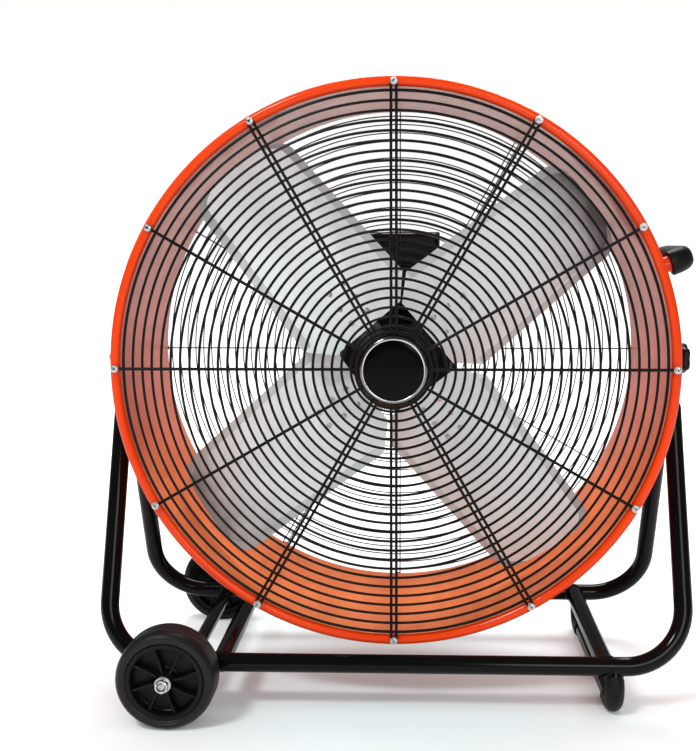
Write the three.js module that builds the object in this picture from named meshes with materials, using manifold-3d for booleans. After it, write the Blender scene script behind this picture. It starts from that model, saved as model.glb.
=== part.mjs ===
// Wheeled drum fan on an A-shaped tube stand, built from its driving dimensions.
// Millimetres, +Z up. The front of the fan faces -Y and the floor is z = 0.

import * as THREE from 'three';
import { mergeVertices } from 'three/addons/utils/BufferGeometryUtils.js';
import Module from 'manifold-3d';

const wasm = await Module();
wasm.setup();

// ---- driving dimensions -------------------------------------------------

const GAP = 0.3;              // clearance left between two touching parts

const AXIS_Z = 403;           // height of the drum axis and of the tilt pivot

const FRAME_TUBE_R = 11;
const FRAME_X = 341;          // centre line of the uprights
const BAR_Y = 134;            // front and rear bar, before and behind the pivot
const BAR_Z = 56;
const FRAME_BEND_R = 70;
const TAB_HALF_WIDTH = 16;
const TAB_HALF_THICK = 2.3;
const TAB_OFFSET = 2.5;       // the two flattened ends lie side by side
const TAB_LENGTH = 62;        // from the pivot to where the tube is round

const LEFT_TUBE_X = -204;
const WHEEL_SIDE_TUBE_X = -242;
const WHEEL_SIDE_TUBE_R = 8.5;
const RIGHT_TUBE_X = 248;

const SKID_X = 257;
const SKID_TUBE_R = 9;
const SKID_Z = 10.4;
const SKID_LEAN = 22;         // its bends stand out beyond the front and rear bar
const SKID_BEND_R = 20;
const SLEEVE_R = 11;
const SLEEVE_SHARE = 0.74;    // how far up the leg of the skid a sleeve reaches
const SLEEVE_END_Y = 106;     // where a sleeve ends on the floor run

const WHEEL_X = -256.5;
const WHEEL_R = 57;
const WHEEL_FACE_Y = 200;     // outer face of each wheel
const WHEEL_WIDTH = 44;
const RIM_R = 44.5;
const WELL_R = 38.5;          // the hollow of the wheel inside its rim
const WHEEL_BOLT_R = 5;

const SHELL_R = 316.5;        // inner radius of the drum
const SHELL_WALL = 2;
const DRUM_HALF = 118;
const BEAD_R = 6;
const BEAD_PITCH_R = SHELL_R + BEAD_R;
const SHELL_SEGMENTS = 48;

const GRILLE_RINGS = 25;
const OUTER_RING_R = 312;
const RING_PITCH = 10.95;
const WIRE = 3.6;             // side of the square wires
const RING_Y = 122.8;         // wire rings, from the middle of the drum
const SPOKE_Y = 126.7;        // radial wires, just outside the rings
const SPOKE_SPREAD = 3;       // half distance of the paired wires
const EYE_R = 321.5;
const HUB_PLATE_R = 45.5;
const BADGE_R = 42;

const ROTOR_Y = -30;
const BLADE_ROOT = 52;        // the straight inner edge, from the axis
const BLADE_SHOULDER = 80;    // where a blade reaches its full width
const BLADE_TIP_R = 304;
const ROOT_HALF = 50;
const SHOULDER_HALF = 76;
const TIP_HALF = 66;
const BLADE_PITCH = THREE.MathUtils.degToRad(22);
const BLADE_CAMBER = 6;
const BLADE_THICK = 1.8;
const HUB_Y = ROTOR_Y - 1;    // front face of the turned hub
const FIRST_BLADE = 50.5;     // degrees clockwise from straight up

const MOTOR_R = 75;
const MOTOR_FRONT_Y = 42;
const MOTOR_BACK_Y = 117;
const PLATE_HALF = 79;
const PLATE_BACK_Y = 120.6;
const SHAFT_R = 7.95;

const HANDLE_TILT = 20;       // degrees above the horizontal
const HANDLE_HALF = 50;
const HANDLE_R = 364;         // centre line of the cross piece
const HANDLE_TUBE_R = 9.5;
const GRIP_R = 15;

const BOX_WIDTH = 112;
const BOX_LOW = 73;           // above the drum axis
const BOX_HIGH = 157.5;
const BOX_FRONT_Y = 128.8;
const BOX_BACK_Y = 173;

// ---- materials ----------------------------------------------------------

function material(color, metalness, roughness) {
  return new THREE.MeshStandardMaterial({ color, metalness, roughness });
}

const ORANGE = [0xf2470f, 0.1, 0.35];
const BLACK_GLOSS = [0x0c0c0d, 0.2, 0.25];
const BLACK_WIRE = [0x111112, 0.3, 0.4];
const BLACK_PLASTIC = [0x18181a, 0.0, 0.5];
const RUBBER = [0x141414, 0.0, 0.85];
const ZINC = [0xc4c7ca, 0.9, 0.35];
const ALUMINIUM = [0xaeb1b4, 0.9, 0.4];

// ---- mesh helpers -------------------------------------------------------

function volumeOf(position, index) {
  const a = new THREE.Vector3();
  const b = new THREE.Vector3();
  const c = new THREE.Vector3();
  let sum = 0;
  for (let i = 0; i < index.length; i += 3) {
    a.fromBufferAttribute(position, index[i]);
    b.fromBufferAttribute(position, index[i + 1]);
    c.fromBufferAttribute(position, index[i + 2]);
    sum += a.dot(b.cross(c)) / 6;
  }
  return sum;
}

// Welds the corners, drops collapsed triangles and turns all faces outward.
function closed(geometry) {
  const bare = new THREE.BufferGeometry();
  const flat = geometry.index ? geometry.toNonIndexed() : geometry;
  bare.setAttribute('position', flat.getAttribute('position').clone());
  const welded = mergeVertices(bare, 1e-4);
  const old = welded.index.array;
  const index = [];
  for (let i = 0; i < old.length; i += 3) {
    const [a, b, c] = [old[i], old[i + 1], old[i + 2]];
    if (a !== b && b !== c && c !== a) index.push(a, b, c);
  }
  if (volumeOf(welded.getAttribute('position'), index) < 0) index.reverse();
  welded.setIndex(index);
  return welded;
}

function toSolid(geometry) {
  const clean = closed(geometry);
  const mesh = new wasm.Mesh({
    numProp: 3,
    vertProperties: new Float32Array(clean.getAttribute('position').array),
    triVerts: new Uint32Array(clean.index.array),
  });
  return new wasm.Manifold(mesh);
}

function toGeometry(solid) {
  const mesh = solid.getMesh();
  const geometry = new THREE.BufferGeometry();
  const corners = new THREE.BufferAttribute(new Float32Array(mesh.vertProperties), 3);
  geometry.setAttribute('position', corners);
  geometry.setIndex(Array.from(mesh.triVerts));
  return geometry;
}

function join(geometries) {
  let solid = toSolid(geometries[0]);
  for (const other of geometries.slice(1)) {
    solid = solid.add(toSolid(other));
  }
  return toGeometry(solid);
}

function cut(geometry, cutters) {
  let solid = toSolid(geometry);
  for (const cutter of cutters) {
    solid = solid.subtract(toSolid(cutter));
  }
  return toGeometry(solid);
}

// ---- basic forms --------------------------------------------------------

// A turned part about the Y axis from [radius, y] pairs.
function turnedY(profile, segments) {
  const points = profile.map(([r, y]) => new THREE.Vector2(r, y));
  return closed(new THREE.LatheGeometry(points, segments));
}

// A turned part about the X axis; the second number of each pair is x.
function turnedX(profile, segments) {
  return turnedY(profile, segments).rotateZ(-Math.PI / 2);
}

function rodY(radius, y0, y1, segments) {
  const length = Math.abs(y1 - y0);
  const rod = new THREE.CylinderGeometry(radius, radius, length, segments);
  return rod.translate(0, (y0 + y1) / 2, 0);
}

function rodX(radius, x0, x1, segments) {
  const length = Math.abs(x1 - x0);
  const rod = new THREE.CylinderGeometry(radius, radius, length, segments);
  return rod.rotateZ(Math.PI / 2).translate((x0 + x1) / 2, 0, 0);
}

// A ring about the Y axis between two radii and two y values.
function collarY(inner, outer, y0, y1, segments) {
  const profile = [[inner, y0], [outer, y0], [outer, y1], [inner, y1], [inner, y0]];
  return turnedY(profile, segments);
}

function collarX(inner, outer, x0, x1, segments) {
  return collarY(inner, outer, x0, x1, segments).rotateZ(-Math.PI / 2);
}

function ringPoints(station, sides) {
  const points = [];
  for (let k = 0; k < sides; k += 1) {
    const angle = (2 * Math.PI * (k + 0.5)) / sides;
    const c = Math.cos(angle);
    const s = Math.sin(angle);
    const power = station.square ?? 1;
    const du = Math.sign(c) * Math.abs(c) ** power * station.a;
    const dv = Math.sign(s) * Math.abs(s) ** power * station.b;
    const point = station.p.clone();
    point.addScaledVector(station.u, du).addScaledVector(station.v, dv);
    points.push(point);
  }
  return points;
}

// A solid lofted through stations {p, u, v, a, b, square}, flat at both ends.
function loft(stations, sides) {
  const rings = stations.map((station) => ringPoints(station, sides));
  const corners = rings.flat().flatMap((p) => [p.x, p.y, p.z]);
  const index = [];
  for (let i = 0; i < rings.length - 1; i += 1) {
    for (let k = 0; k < sides; k += 1) {
      const a = i * sides + k;
      const b = i * sides + ((k + 1) % sides);
      index.push(a, b, a + sides, b, b + sides, a + sides);
    }
  }
  const last = (rings.length - 1) * sides;
  for (let k = 1; k < sides - 1; k += 1) {
    index.push(0, k + 1, k);
    index.push(last, last + k, last + k + 1);
  }
  const geometry = new THREE.BufferGeometry();
  geometry.setAttribute('position', new THREE.Float32BufferAttribute(corners, 3));
  geometry.setIndex(index);
  return closed(geometry);
}

// Points and directions along a polyline whose corners are rounded.
function roundedPath(corners, radius, steps) {
  const path = [];
  const last = corners.length - 1;
  const start = corners[1].clone().sub(corners[0]).normalize();
  path.push({ p: corners[0].clone(), t: start });
  for (let i = 1; i < last; i += 1) {
    const before = corners[i].clone().sub(corners[i - 1]).normalize();
    const after = corners[i + 1].clone().sub(corners[i]).normalize();
    const turn = before.angleTo(after);
    const reach = radius * Math.tan(turn / 2);
    const inward = after.clone().sub(before).normalize();
    const centre = corners[i].clone().addScaledVector(inward, radius / Math.cos(turn / 2));
    const from = corners[i].clone().addScaledVector(before, -reach).sub(centre);
    const axis = before.clone().cross(after).normalize();
    for (let k = 0; k <= steps; k += 1) {
      const angle = (turn * k) / steps;
      const p = from.clone().applyAxisAngle(axis, angle).add(centre);
      path.push({ p, t: before.clone().applyAxisAngle(axis, angle) });
    }
  }
  const end = corners[last].clone().sub(corners[last - 1]).normalize();
  path.push({ p: corners[last].clone(), t: end });
  return path;
}

// Stations of a round tube along a flat path with the given plane normal.
function tubeStations(path, normal, radius) {
  return path.map(({ p, t }) => {
    const u = normal.clone().cross(t);
    return { p, u, v: normal, a: radius, b: radius };
  });
}

function bentTube(corners, normal, bend, radius, sides, steps) {
  const path = roundedPath(corners, bend, steps);
  return loft(tubeStations(path, normal, radius), sides);
}

// ---- stand --------------------------------------------------------------

// Flattened end of a tube, counted from the pivot down along the leg.
const TAB_PROFILE = [
  [-15.5, 5, TAB_HALF_THICK, 0.4],
  [-13, 10, TAB_HALF_THICK, 0.4],
  [-7, 14.6, TAB_HALF_THICK, 0.4],
  [0, TAB_HALF_WIDTH, TAB_HALF_THICK, 0.4],
  [14, TAB_HALF_WIDTH, TAB_HALF_THICK, 0.4],
  [42, 13, TAB_HALF_THICK, 0.4],
  [52, 12, 7, 0.7],
  [TAB_LENGTH, FRAME_TUBE_R, FRAME_TUBE_R, 1],
];

function tabStations(pivot, down, normal, shift, side) {
  return TAB_PROFILE.map(([s, width, thick, square]) => {
    const blend = THREE.MathUtils.clamp((TAB_LENGTH - s) / 20, 0, 1);
    const p = pivot.clone().addScaledVector(down, s);
    p.x += side * shift * blend;
    const u = normal.clone().cross(down);
    return { p, u, v: normal, a: thick, b: width, square };
  });
}

// One loop of the stand: pivot tab, leg, bar, leg, pivot tab.
function frameLoop(front) {
  const y = front ? -BAR_Y : BAR_Y;
  const shift = front ? -TAB_OFFSET : TAB_OFFSET;
  const pivotL = new THREE.Vector3(-FRAME_X, 0, AXIS_Z);
  const pivotR = new THREE.Vector3(FRAME_X, 0, AXIS_Z);
  const cornerL = new THREE.Vector3(-FRAME_X, y, BAR_Z);
  const cornerR = new THREE.Vector3(FRAME_X, y, BAR_Z);
  const down = cornerL.clone().sub(pivotL).normalize();
  const normal = new THREE.Vector3(1, 0, 0).cross(down).normalize();
  const left = tabStations(pivotL, down, normal, shift, -1);
  const right = tabStations(pivotR, down, normal, shift, 1).reverse();
  right.forEach((station) => station.u.negate());
  const corners = [pivotL, cornerL, cornerR, pivotR];
  const middle = roundedPath(corners, FRAME_BEND_R, 5).slice(1, -1);
  const bend = tubeStations(middle, normal, FRAME_TUBE_R);
  const tube = loft([...left, ...bend, ...right], 10);
  const boltHole = rodY(WHEEL_BOLT_R + 0.4, y - 20, y + 20, 12);
  return cut(tube, [
    rodX(5.4, -360, 360, 12).translate(0, 0, AXIS_Z),
    boltHole.translate(WHEEL_X, 0, WHEEL_R),
  ]);
}

// Cylinders that shape a tube end to the front and rear bars.
function barCutters() {
  const radius = FRAME_TUBE_R + GAP;
  return [-BAR_Y, BAR_Y].map((y) => rodX(radius, -330, 330, 16).translate(0, y, BAR_Z));
}

function crossTube(x, radius) {
  const tube = rodY(radius, -BAR_Y, BAR_Y, 12).translate(x, 0, BAR_Z);
  const keep = new THREE.BoxGeometry(60, 2 * BAR_Y, 60).translate(x, 0, BAR_Z);
  const coped = toSolid(cut(tube, barCutters())).intersect(toSolid(keep));
  const pieces = coped.decompose().sort((a, b) => b.volume() - a.volume());
  return toGeometry(pieces[0]);
}

// The skid runs from the middle of one bar down, along the floor and up again.
const SKID_CORNERS = [
  new THREE.Vector3(SKID_X, -BAR_Y, BAR_Z),
  new THREE.Vector3(SKID_X, -BAR_Y - SKID_LEAN, SKID_Z),
  new THREE.Vector3(SKID_X, BAR_Y + SKID_LEAN, SKID_Z),
  new THREE.Vector3(SKID_X, BAR_Y, BAR_Z),
];

const ACROSS = new THREE.Vector3(1, 0, 0);

// The right cross tube also makes room for the two legs of the skid.
function rightCrossTube() {
  const around = SKID_TUBE_R + 2 * GAP;
  const skid = bentTube(SKID_CORNERS, ACROSS, SKID_BEND_R, around, 10, 4);
  return cut(crossTube(RIGHT_TUBE_X, FRAME_TUBE_R), [skid]);
}

function skidTube() {
  const tube = bentTube(SKID_CORNERS, ACROSS, SKID_BEND_R, SKID_TUBE_R, 10, 4);
  return cut(tube, barCutters());
}

// Rubber sleeve over one bend of the skid, flat where it stands on the floor.
function skidSleeve(side) {
  const low = new THREE.Vector3(SKID_X, side * (BAR_Y + SKID_LEAN), SKID_Z);
  const bar = new THREE.Vector3(SKID_X, side * BAR_Y, BAR_Z);
  const top = low.clone().lerp(bar, SLEEVE_SHARE);
  const end = new THREE.Vector3(SKID_X, side * SLEEVE_END_Y, SKID_Z);
  const outer = bentTube([top, low, end], ACROSS, SKID_BEND_R, SLEEVE_R, 10, 4);
  const inner = bentTube(SKID_CORNERS, ACROSS, SKID_BEND_R, SKID_TUBE_R + GAP, 10, 4);
  const floor = new THREE.BoxGeometry(80, 400, 20).translate(SKID_X, 0, -10);
  return cut(outer, [inner, floor]);
}

// ---- wheels -------------------------------------------------------------

// Each wheel part is drawn for the front wheel and mirrored for the rear one.
function placeWheel(geometry, side) {
  const placed = geometry.clone().translate(WHEEL_X, 0, WHEEL_R);
  if (side > 0) placed.scale(1, -1, 1);
  return closed(placed);
}

function tyre() {
  const face = -WHEEL_FACE_Y;
  const back = face + WHEEL_WIDTH;
  return turnedY([
    [RIM_R + GAP, face + 2],
    [RIM_R + 2.5, face + 0.5],
    [RIM_R + 6, face],
    [WHEEL_R - 2.5, face + 2.5],
    [WHEEL_R, face + 8],
    [WHEEL_R, back - 8],
    [WHEEL_R - 2.5, back - 2.5],
    [RIM_R + 6, back],
    [RIM_R + GAP, back - 1.5],
    [RIM_R + GAP, face + 2],
  ], 24);
}

function wheelHub() {
  const face = -WHEEL_FACE_Y;
  const back = face + WHEEL_WIDTH;
  const body = turnedY([
    [WHEEL_BOLT_R + 0.4, face - 3],
    [10.5, face - 3],
    [12.5, face + 10],
    [12.5, face + 15],
    [WELL_R, face + 15],
    [WELL_R + 0.5, face + 2],
    [RIM_R, face + 0.5],
    [RIM_R, back - 1],
    [WELL_R + 1, back - 1],
    [WELL_R, back - 12],
    [13, back - 12],
    [12, back],
    [WHEEL_BOLT_R + 0.4, back],
    [WHEEL_BOLT_R + 0.4, face - 3],
  ], 24);
  const ribs = [];
  for (let k = 0; k < 8; k += 1) {
    const rib = new THREE.BoxGeometry(3, 12, WELL_R - 10);
    rib.rotateY(0.18).translate(0, face + 11, WELL_R / 2 + 6);
    ribs.push(rib.rotateY((k * Math.PI) / 4));
  }
  return join([body, ...ribs]);
}

// A stud held in the bar; the wheel turns on it.
function wheelStud() {
  return rodY(WHEEL_BOLT_R, -126, -211, 12);
}

function wheelSpacer() {
  const back = -WHEEL_FACE_Y + WHEEL_WIDTH;
  const near = -BAR_Y - FRAME_TUBE_R - GAP;
  return collarY(WHEEL_BOLT_R + 0.4, 9, back + GAP, near, 12);
}

function wheelNut() {
  const face = -WHEEL_FACE_Y - 3 - GAP;
  return turnedY([
    [WHEEL_BOLT_R + GAP, face],
    [9.5, face],
    [9.5, face - 1.5],
    [8, face - 2],
    [8, face - 8],
    [7, face - 9],
    [WHEEL_BOLT_R + GAP, face - 9],
    [WHEEL_BOLT_R + GAP, face],
  ], 12);
}

// ---- drum ---------------------------------------------------------------

function beadArc(centreY, from, to, steps) {
  const points = [];
  for (let k = 0; k <= steps; k += 1) {
    const angle = THREE.MathUtils.degToRad(from + ((to - from) * k) / steps);
    const r = BEAD_PITCH_R + BEAD_R * Math.cos(angle);
    points.push([r, centreY + BEAD_R * Math.sin(angle)]);
  }
  return points;
}

function drumShell() {
  const meet = THREE.MathUtils.radToDeg(Math.asin(Math.sqrt(20) / 6));
  const front = beadArc(-DRUM_HALF, 180 - meet, 0, 3);
  const frontOuter = beadArc(-DRUM_HALF, 0, -180, 4).slice(1);
  const rear = beadArc(DRUM_HALF, 180, 0, 4);
  const rearOuter = beadArc(DRUM_HALF, 0, -180 + meet, 3).slice(1);
  const profile = [...front, ...frontOuter, ...rear, ...rearOuter];
  profile.push(front[0]);
  return turnedY(profile, SHELL_SEGMENTS).translate(0, 0, AXIS_Z);
}

// The drum's outer wall plus clearance, to shape what is welded on it.
function wallCutter() {
  const radius = SHELL_R + SHELL_WALL + GAP;
  return rodY(radius, -DRUM_HALF, DRUM_HALF, SHELL_SEGMENTS).translate(0, 0, AXIS_Z);
}

function handleCorners(inner) {
  const tilt = THREE.MathUtils.degToRad(HANDLE_TILT);
  const at = (r, y) => new THREE.Vector3(
    r * Math.cos(tilt),
    y,
    AXIS_Z + r * Math.sin(tilt),
  );
  return [
    at(inner, -HANDLE_HALF),
    at(HANDLE_R, -HANDLE_HALF),
    at(HANDLE_R, HANDLE_HALF),
    at(inner, HANDLE_HALF),
  ];
}

function handleNormal() {
  const tilt = THREE.MathUtils.degToRad(HANDLE_TILT);
  return new THREE.Vector3(-Math.sin(tilt), 0, Math.cos(tilt));
}

function handleTube() {
  const tube = bentTube(handleCorners(312), handleNormal(), 16, HANDLE_TUBE_R, 10, 3);
  return cut(tube, [wallCutter()]);
}

function handleGrip() {
  const normal = handleNormal();
  const outer = bentTube(handleCorners(347), normal, 16, GRIP_R, 10, 3);
  const inner = bentTube(handleCorners(330), normal, 16, HANDLE_TUBE_R + GAP, 10, 3);
  return cut(outer, [inner]);
}

// ---- tilt pivots --------------------------------------------------------

// Drawn for the right side; the left side is its mirror image.
function placePivot(geometry, side) {
  const placed = geometry.clone().translate(0, 0, AXIS_Z);
  if (side < 0) placed.scale(-1, 1, 1);
  return closed(placed);
}

function pivotBoss() {
  const boss = turnedX([
    [5.3, 312],
    [24, 312],
    [24, 321.5],
    [17, 324],
    [17, 333.1],
    [5.3, 333.1],
    [5.3, 312],
  ], 16);
  const wall = wallCutter().translate(0, 0, -AXIS_Z);
  return cut(boss, [wall]);
}

function pivotStud() {
  return rodX(5, 320.5, 354, 12);
}

function lobedShape() {
  const shape = new THREE.Shape();
  const count = 30;
  for (let k = 0; k < count; k += 1) {
    const angle = (2 * Math.PI * k) / count;
    const r = 17.4 + 2.2 * Math.cos(5 * angle);
    const [x, y] = [r * Math.cos(angle), r * Math.sin(angle)];
    if (k === 0) shape.moveTo(x, y);
    else shape.lineTo(x, y);
  }
  shape.closePath();
  return shape;
}

function tiltKnob() {
  const bevel = {
    depth: 6,
    bevelThickness: 2,
    bevelSize: 1.6,
    bevelOffset: -1.6,
    bevelSegments: 1,
  };
  const lobes = new THREE.ExtrudeGeometry(lobedShape(), bevel);
  lobes.rotateY(Math.PI / 2).translate(356, 0, 0);
  const neck = rodX(10, 348.3, 356, 16);
  return cut(join([lobes, neck]), [rodX(5.4, 340, 357, 12)]);
}

function capNut() {
  const hex = rodX(9.2, 348.3, 357, 6);
  const dome = turnedX([[0, 355], [7.6, 355], [7.6, 358], [5.6, 361.8], [0, 364]], 12);
  return cut(join([hex, dome]), [rodX(5.4, 340, 357, 12)]);
}

// ---- grilles ------------------------------------------------------------

function segmentsFor(radius) {
  if (radius < 215) return 16;
  return 22;
}

function wireRing(radius) {
  const half = WIRE / 2;
  return collarY(radius - half, radius + half, RING_Y - half, RING_Y + half, segmentsFor(radius));
}

// Rings of one grille, held by a tie wire behind the lowest spoke.
function grilleRings() {
  const inner = OUTER_RING_R - RING_PITCH * (GRILLE_RINGS - 1);
  const tie = new THREE.BoxGeometry(WIRE - 0.2, WIRE - 0.4, OUTER_RING_R - inner);
  const parts = [tie.translate(SPOKE_SPREAD, RING_Y, -(OUTER_RING_R + inner) / 2)];
  for (let k = 0; k < GRILLE_RINGS; k += 1) {
    parts.push(wireRing(OUTER_RING_R - k * RING_PITCH));
  }
  return join(parts);
}

// Side offsets of the wires at a spoke: the six steepest spokes are pairs.
function spokeOffsets(place) {
  const paired = [2, 3, 4, 8, 9, 10].includes(place);
  return paired ? [-SPOKE_SPREAD, SPOKE_SPREAD] : [0];
}

function grilleSpokes() {
  const parts = [rodY(HUB_PLATE_R, SPOKE_Y - WIRE / 2, SPOKE_Y + WIRE / 2, 24)];
  for (let place = 0; place < 12; place += 1) {
    const turn = Math.PI / 2 - (place * Math.PI) / 6;
    for (const offset of spokeOffsets(place)) {
      const wire = new THREE.BoxGeometry(WIRE, WIRE - 0.2, EYE_R - 40);
      parts.push(wire.translate(offset, SPOKE_Y, (EYE_R + 38) / 2).rotateY(turn));
    }
    const eye = rodY(6, SPOKE_Y - 1.1, SPOKE_Y + 1.1, 8).translate(0, 0, EYE_R);
    parts.push(eye.rotateY(turn));
  }
  return join(parts);
}

function placeGrille(geometry, front) {
  const placed = geometry.clone();
  if (front) placed.scale(1, -1, 1);
  return closed(placed.translate(0, 0, AXIS_Z));
}

function badgeRing() {
  const back = -SPOKE_Y - WIRE / 2 - GAP;
  return turnedY([
    [34.5, back],
    [BADGE_R, back],
    [BADGE_R, back - 1.5],
    [35.8, back - 9],
    [34.5, back - 9],
    [34.5, back],
  ], 28).translate(0, 0, AXIS_Z);
}

function badgeDisc() {
  const back = -SPOKE_Y - WIRE / 2 - GAP;
  return turnedY([
    [0, back],
    [34.2, back],
    [34.2, back - 7],
    [33, back - 7.8],
    [0, back - 8.2],
  ], 28).translate(0, 0, AXIS_Z);
}

// ---- rotor --------------------------------------------------------------

// Depth of the pitched and cambered blade surface at a distance from its middle line.
function bladeDepth(offset) {
  const share = offset / SHOULDER_HALF;
  return ROTOR_Y + offset * Math.tan(BLADE_PITCH) - BLADE_CAMBER * (1 - share * share);
}

// A sheet on the blade surface, standing straight up, from [height, half width] rows.
// A height above the tip radius is brought down to the tip circle.
function bladeSheet({ outline, lift, thick, columns }) {
  const rows = outline.length - 1;
  const corners = [];
  for (const side of [0, 1]) {
    for (const [height, half] of outline) {
      for (let j = 0; j <= columns; j += 1) {
        const offset = half * ((2 * j) / columns - 1);
        const circle = Math.sqrt(BLADE_TIP_R ** 2 - offset ** 2);
        const depth = bladeDepth(offset) + lift + side * thick;
        corners.push(offset, depth, Math.min(height, circle));
      }
    }
  }
  const wide = columns + 1;
  const layer = (rows + 1) * wide;
  const index = [];
  const quad = (a, b, c, d) => index.push(a, b, c, a, c, d);
  for (let i = 0; i < rows; i += 1) {
    for (let j = 0; j < columns; j += 1) {
      const a = i * wide + j;
      quad(a, a + 1, a + 1 + wide, a + wide);
      quad(layer + a + wide, layer + a + 1 + wide, layer + a + 1, layer + a);
    }
  }
  const edge = (a, b) => quad(b, a, a + layer, b + layer);
  for (let j = 0; j < columns; j += 1) {
    edge(j, j + 1);
    edge(rows * wide + j + 1, rows * wide + j);
  }
  for (let i = 0; i < rows; i += 1) {
    edge((i + 1) * wide, i * wide);
    edge(i * wide + columns, (i + 1) * wide + columns);
  }
  const geometry = new THREE.BufferGeometry();
  geometry.setAttribute('position', new THREE.Float32BufferAttribute(corners, 3));
  geometry.setIndex(index);
  return closed(geometry);
}

function placeBlade(geometry, number) {
  const turn = THREE.MathUtils.degToRad(FIRST_BLADE + 90 * number);
  return closed(geometry.clone().rotateY(turn).translate(0, 0, AXIS_Z));
}

// The blades' inner corners are cut at 45 degrees to clear one another.
const BLADE_OUTLINE = [
  [BLADE_ROOT, ROOT_HALF],
  [BLADE_SHOULDER, SHOULDER_HALF],
  [150, 73],
  [220, 69.5],
  [288, TIP_HALF],
  [BLADE_TIP_R, TIP_HALF - 7],
];

function blade(number) {
  const outline = BLADE_OUTLINE;
  const sheet = bladeSheet({ outline, lift: 0, thick: BLADE_THICK, columns: 8 });
  return placeBlade(sheet, number);
}

// Four arms that carry the blades from behind, on one turned hub.
function spider() {
  const hub = turnedY([
    [SHAFT_R + GAP, 0],
    [30, 0],
    [47, 5],
    [47, 9],
    [24, 14],
    [20, 34],
    [SHAFT_R + GAP, 34],
    [SHAFT_R + GAP, 0],
  ], 24).translate(0, HUB_Y, 0);
  const parts = [hub];
  const outline = [[30, 24], [54, 23], [92, 21.5], [128, 20]];
  for (let k = 0; k < 4; k += 1) {
    const arm = bladeSheet({ outline, lift: BLADE_THICK + 0.4, thick: 4, columns: 4 });
    parts.push(arm.rotateY(THREE.MathUtils.degToRad(FIRST_BLADE + 90 * k)));
  }
  return join(parts).translate(0, 0, AXIS_Z);
}

function motorShaft() {
  return rodY(SHAFT_R, HUB_Y - 16, 60, 16).translate(0, 0, AXIS_Z);
}

function hubNut() {
  const nut = new THREE.CylinderGeometry(15, 15, 9, 6).translate(0, HUB_Y - 4.8, 0);
  const hole = rodY(SHAFT_R + GAP, HUB_Y - 12, HUB_Y + 2, 16);
  return cut(nut, [hole]).translate(0, 0, AXIS_Z);
}

// ---- motor and switch box -----------------------------------------------

function motorBody() {
  return turnedY([
    [0, MOTOR_BACK_Y],
    [MOTOR_R - 5, MOTOR_BACK_Y],
    [MOTOR_R, MOTOR_BACK_Y - 5],
    [MOTOR_R, MOTOR_FRONT_Y + 7],
    [MOTOR_R - 5, MOTOR_FRONT_Y],
    [SHAFT_R + 0.5, MOTOR_FRONT_Y],
    [SHAFT_R + 0.5, 64],
    [0, 64],
  ], 28).translate(0, 0, AXIS_Z);
}

function motorLead() {
  const [x, top] = [18, AXIS_Z + 84.7];
  const corners = [
    new THREE.Vector3(x, 96, AXIS_Z + 60),
    new THREE.Vector3(x, 96, top),
    new THREE.Vector3(x, BOX_FRONT_Y - GAP, top),
  ];
  const lead = bentTube(corners, ACROSS, 8, 2.4, 8, 4);
  const body = rodY(MOTOR_R + GAP, 40, 120, 28).translate(0, 0, AXIS_Z);
  return cut(lead, [body]);
}

function roundedRect(width, height, radius) {
  const shape = new THREE.Shape();
  const [w, h] = [width / 2, height / 2];
  shape.moveTo(-w + radius, -h);
  shape.lineTo(w - radius, -h);
  shape.absarc(w - radius, -h + radius, radius, -Math.PI / 2, 0);
  shape.absarc(w - radius, h - radius, radius, 0, Math.PI / 2);
  shape.absarc(-w + radius, h - radius, radius, Math.PI / 2, Math.PI);
  shape.absarc(-w + radius, -h + radius, radius, Math.PI, 1.5 * Math.PI);
  shape.closePath();
  return shape;
}

// A rounded block whose faces look along Y, from y0 to y1.
function blockY(width, height, radius, y0, y1) {
  const options = { depth: y1 - y0, bevelEnabled: false, curveSegments: 4 };
  const block = new THREE.ExtrudeGeometry(roundedRect(width, height, radius), options);
  return block.rotateX(Math.PI / 2).translate(0, y1, 0);
}

function motorPlate() {
  const side = 2 * PLATE_HALF;
  return blockY(side, side, 16, PLATE_BACK_Y - 3.2, PLATE_BACK_Y).translate(0, 0, AXIS_Z);
}

const BOX_MIDDLE = (BOX_LOW + BOX_HIGH) / 2;

function controlBox() {
  const height = BOX_HIGH - BOX_LOW;
  const box = blockY(BOX_WIDTH, height, 8, BOX_FRONT_Y, BOX_BACK_Y - 5);
  return box.translate(0, 0, AXIS_Z + BOX_MIDDLE);
}

function controlCover() {
  const height = BOX_HIGH - BOX_LOW;
  const cover = blockY(BOX_WIDTH + 3, height + 3, 9, BOX_BACK_Y - 5 + GAP, BOX_BACK_Y);
  return cover.translate(0, 0, AXIS_Z + BOX_MIDDLE);
}

function switchKnob() {
  const back = BOX_BACK_Y + GAP;
  const skirt = turnedY([[0, back], [19, back], [18, back + 5], [0, back + 5]], 24);
  const grip = new THREE.BoxGeometry(9, 15, 33).translate(0, back + 11, 0);
  return join([skirt, grip]).translate(0, 0, AXIS_Z + BOX_MIDDLE + 8);
}

function cordGland() {
  const gland = turnedY([
    [4.2, 0],
    [10, 0],
    [10, 4],
    [8, 5],
    [7, 13],
    [4.2, 13],
    [4.2, 0],
  ], 12).rotateX(-Math.PI / 2);
  return gland.translate(-30, 148, AXIS_Z + BOX_LOW - GAP);
}

// ---- assembly -----------------------------------------------------------

const group = new THREE.Group();
group.name = 'drum_fan';

function put(name, geometry, look) {
  const tidy = closed(geometry);
  tidy.computeVertexNormals();
  const mesh = new THREE.Mesh(tidy, material(...look));
  mesh.name = name;
  group.add(mesh);
}

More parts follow.
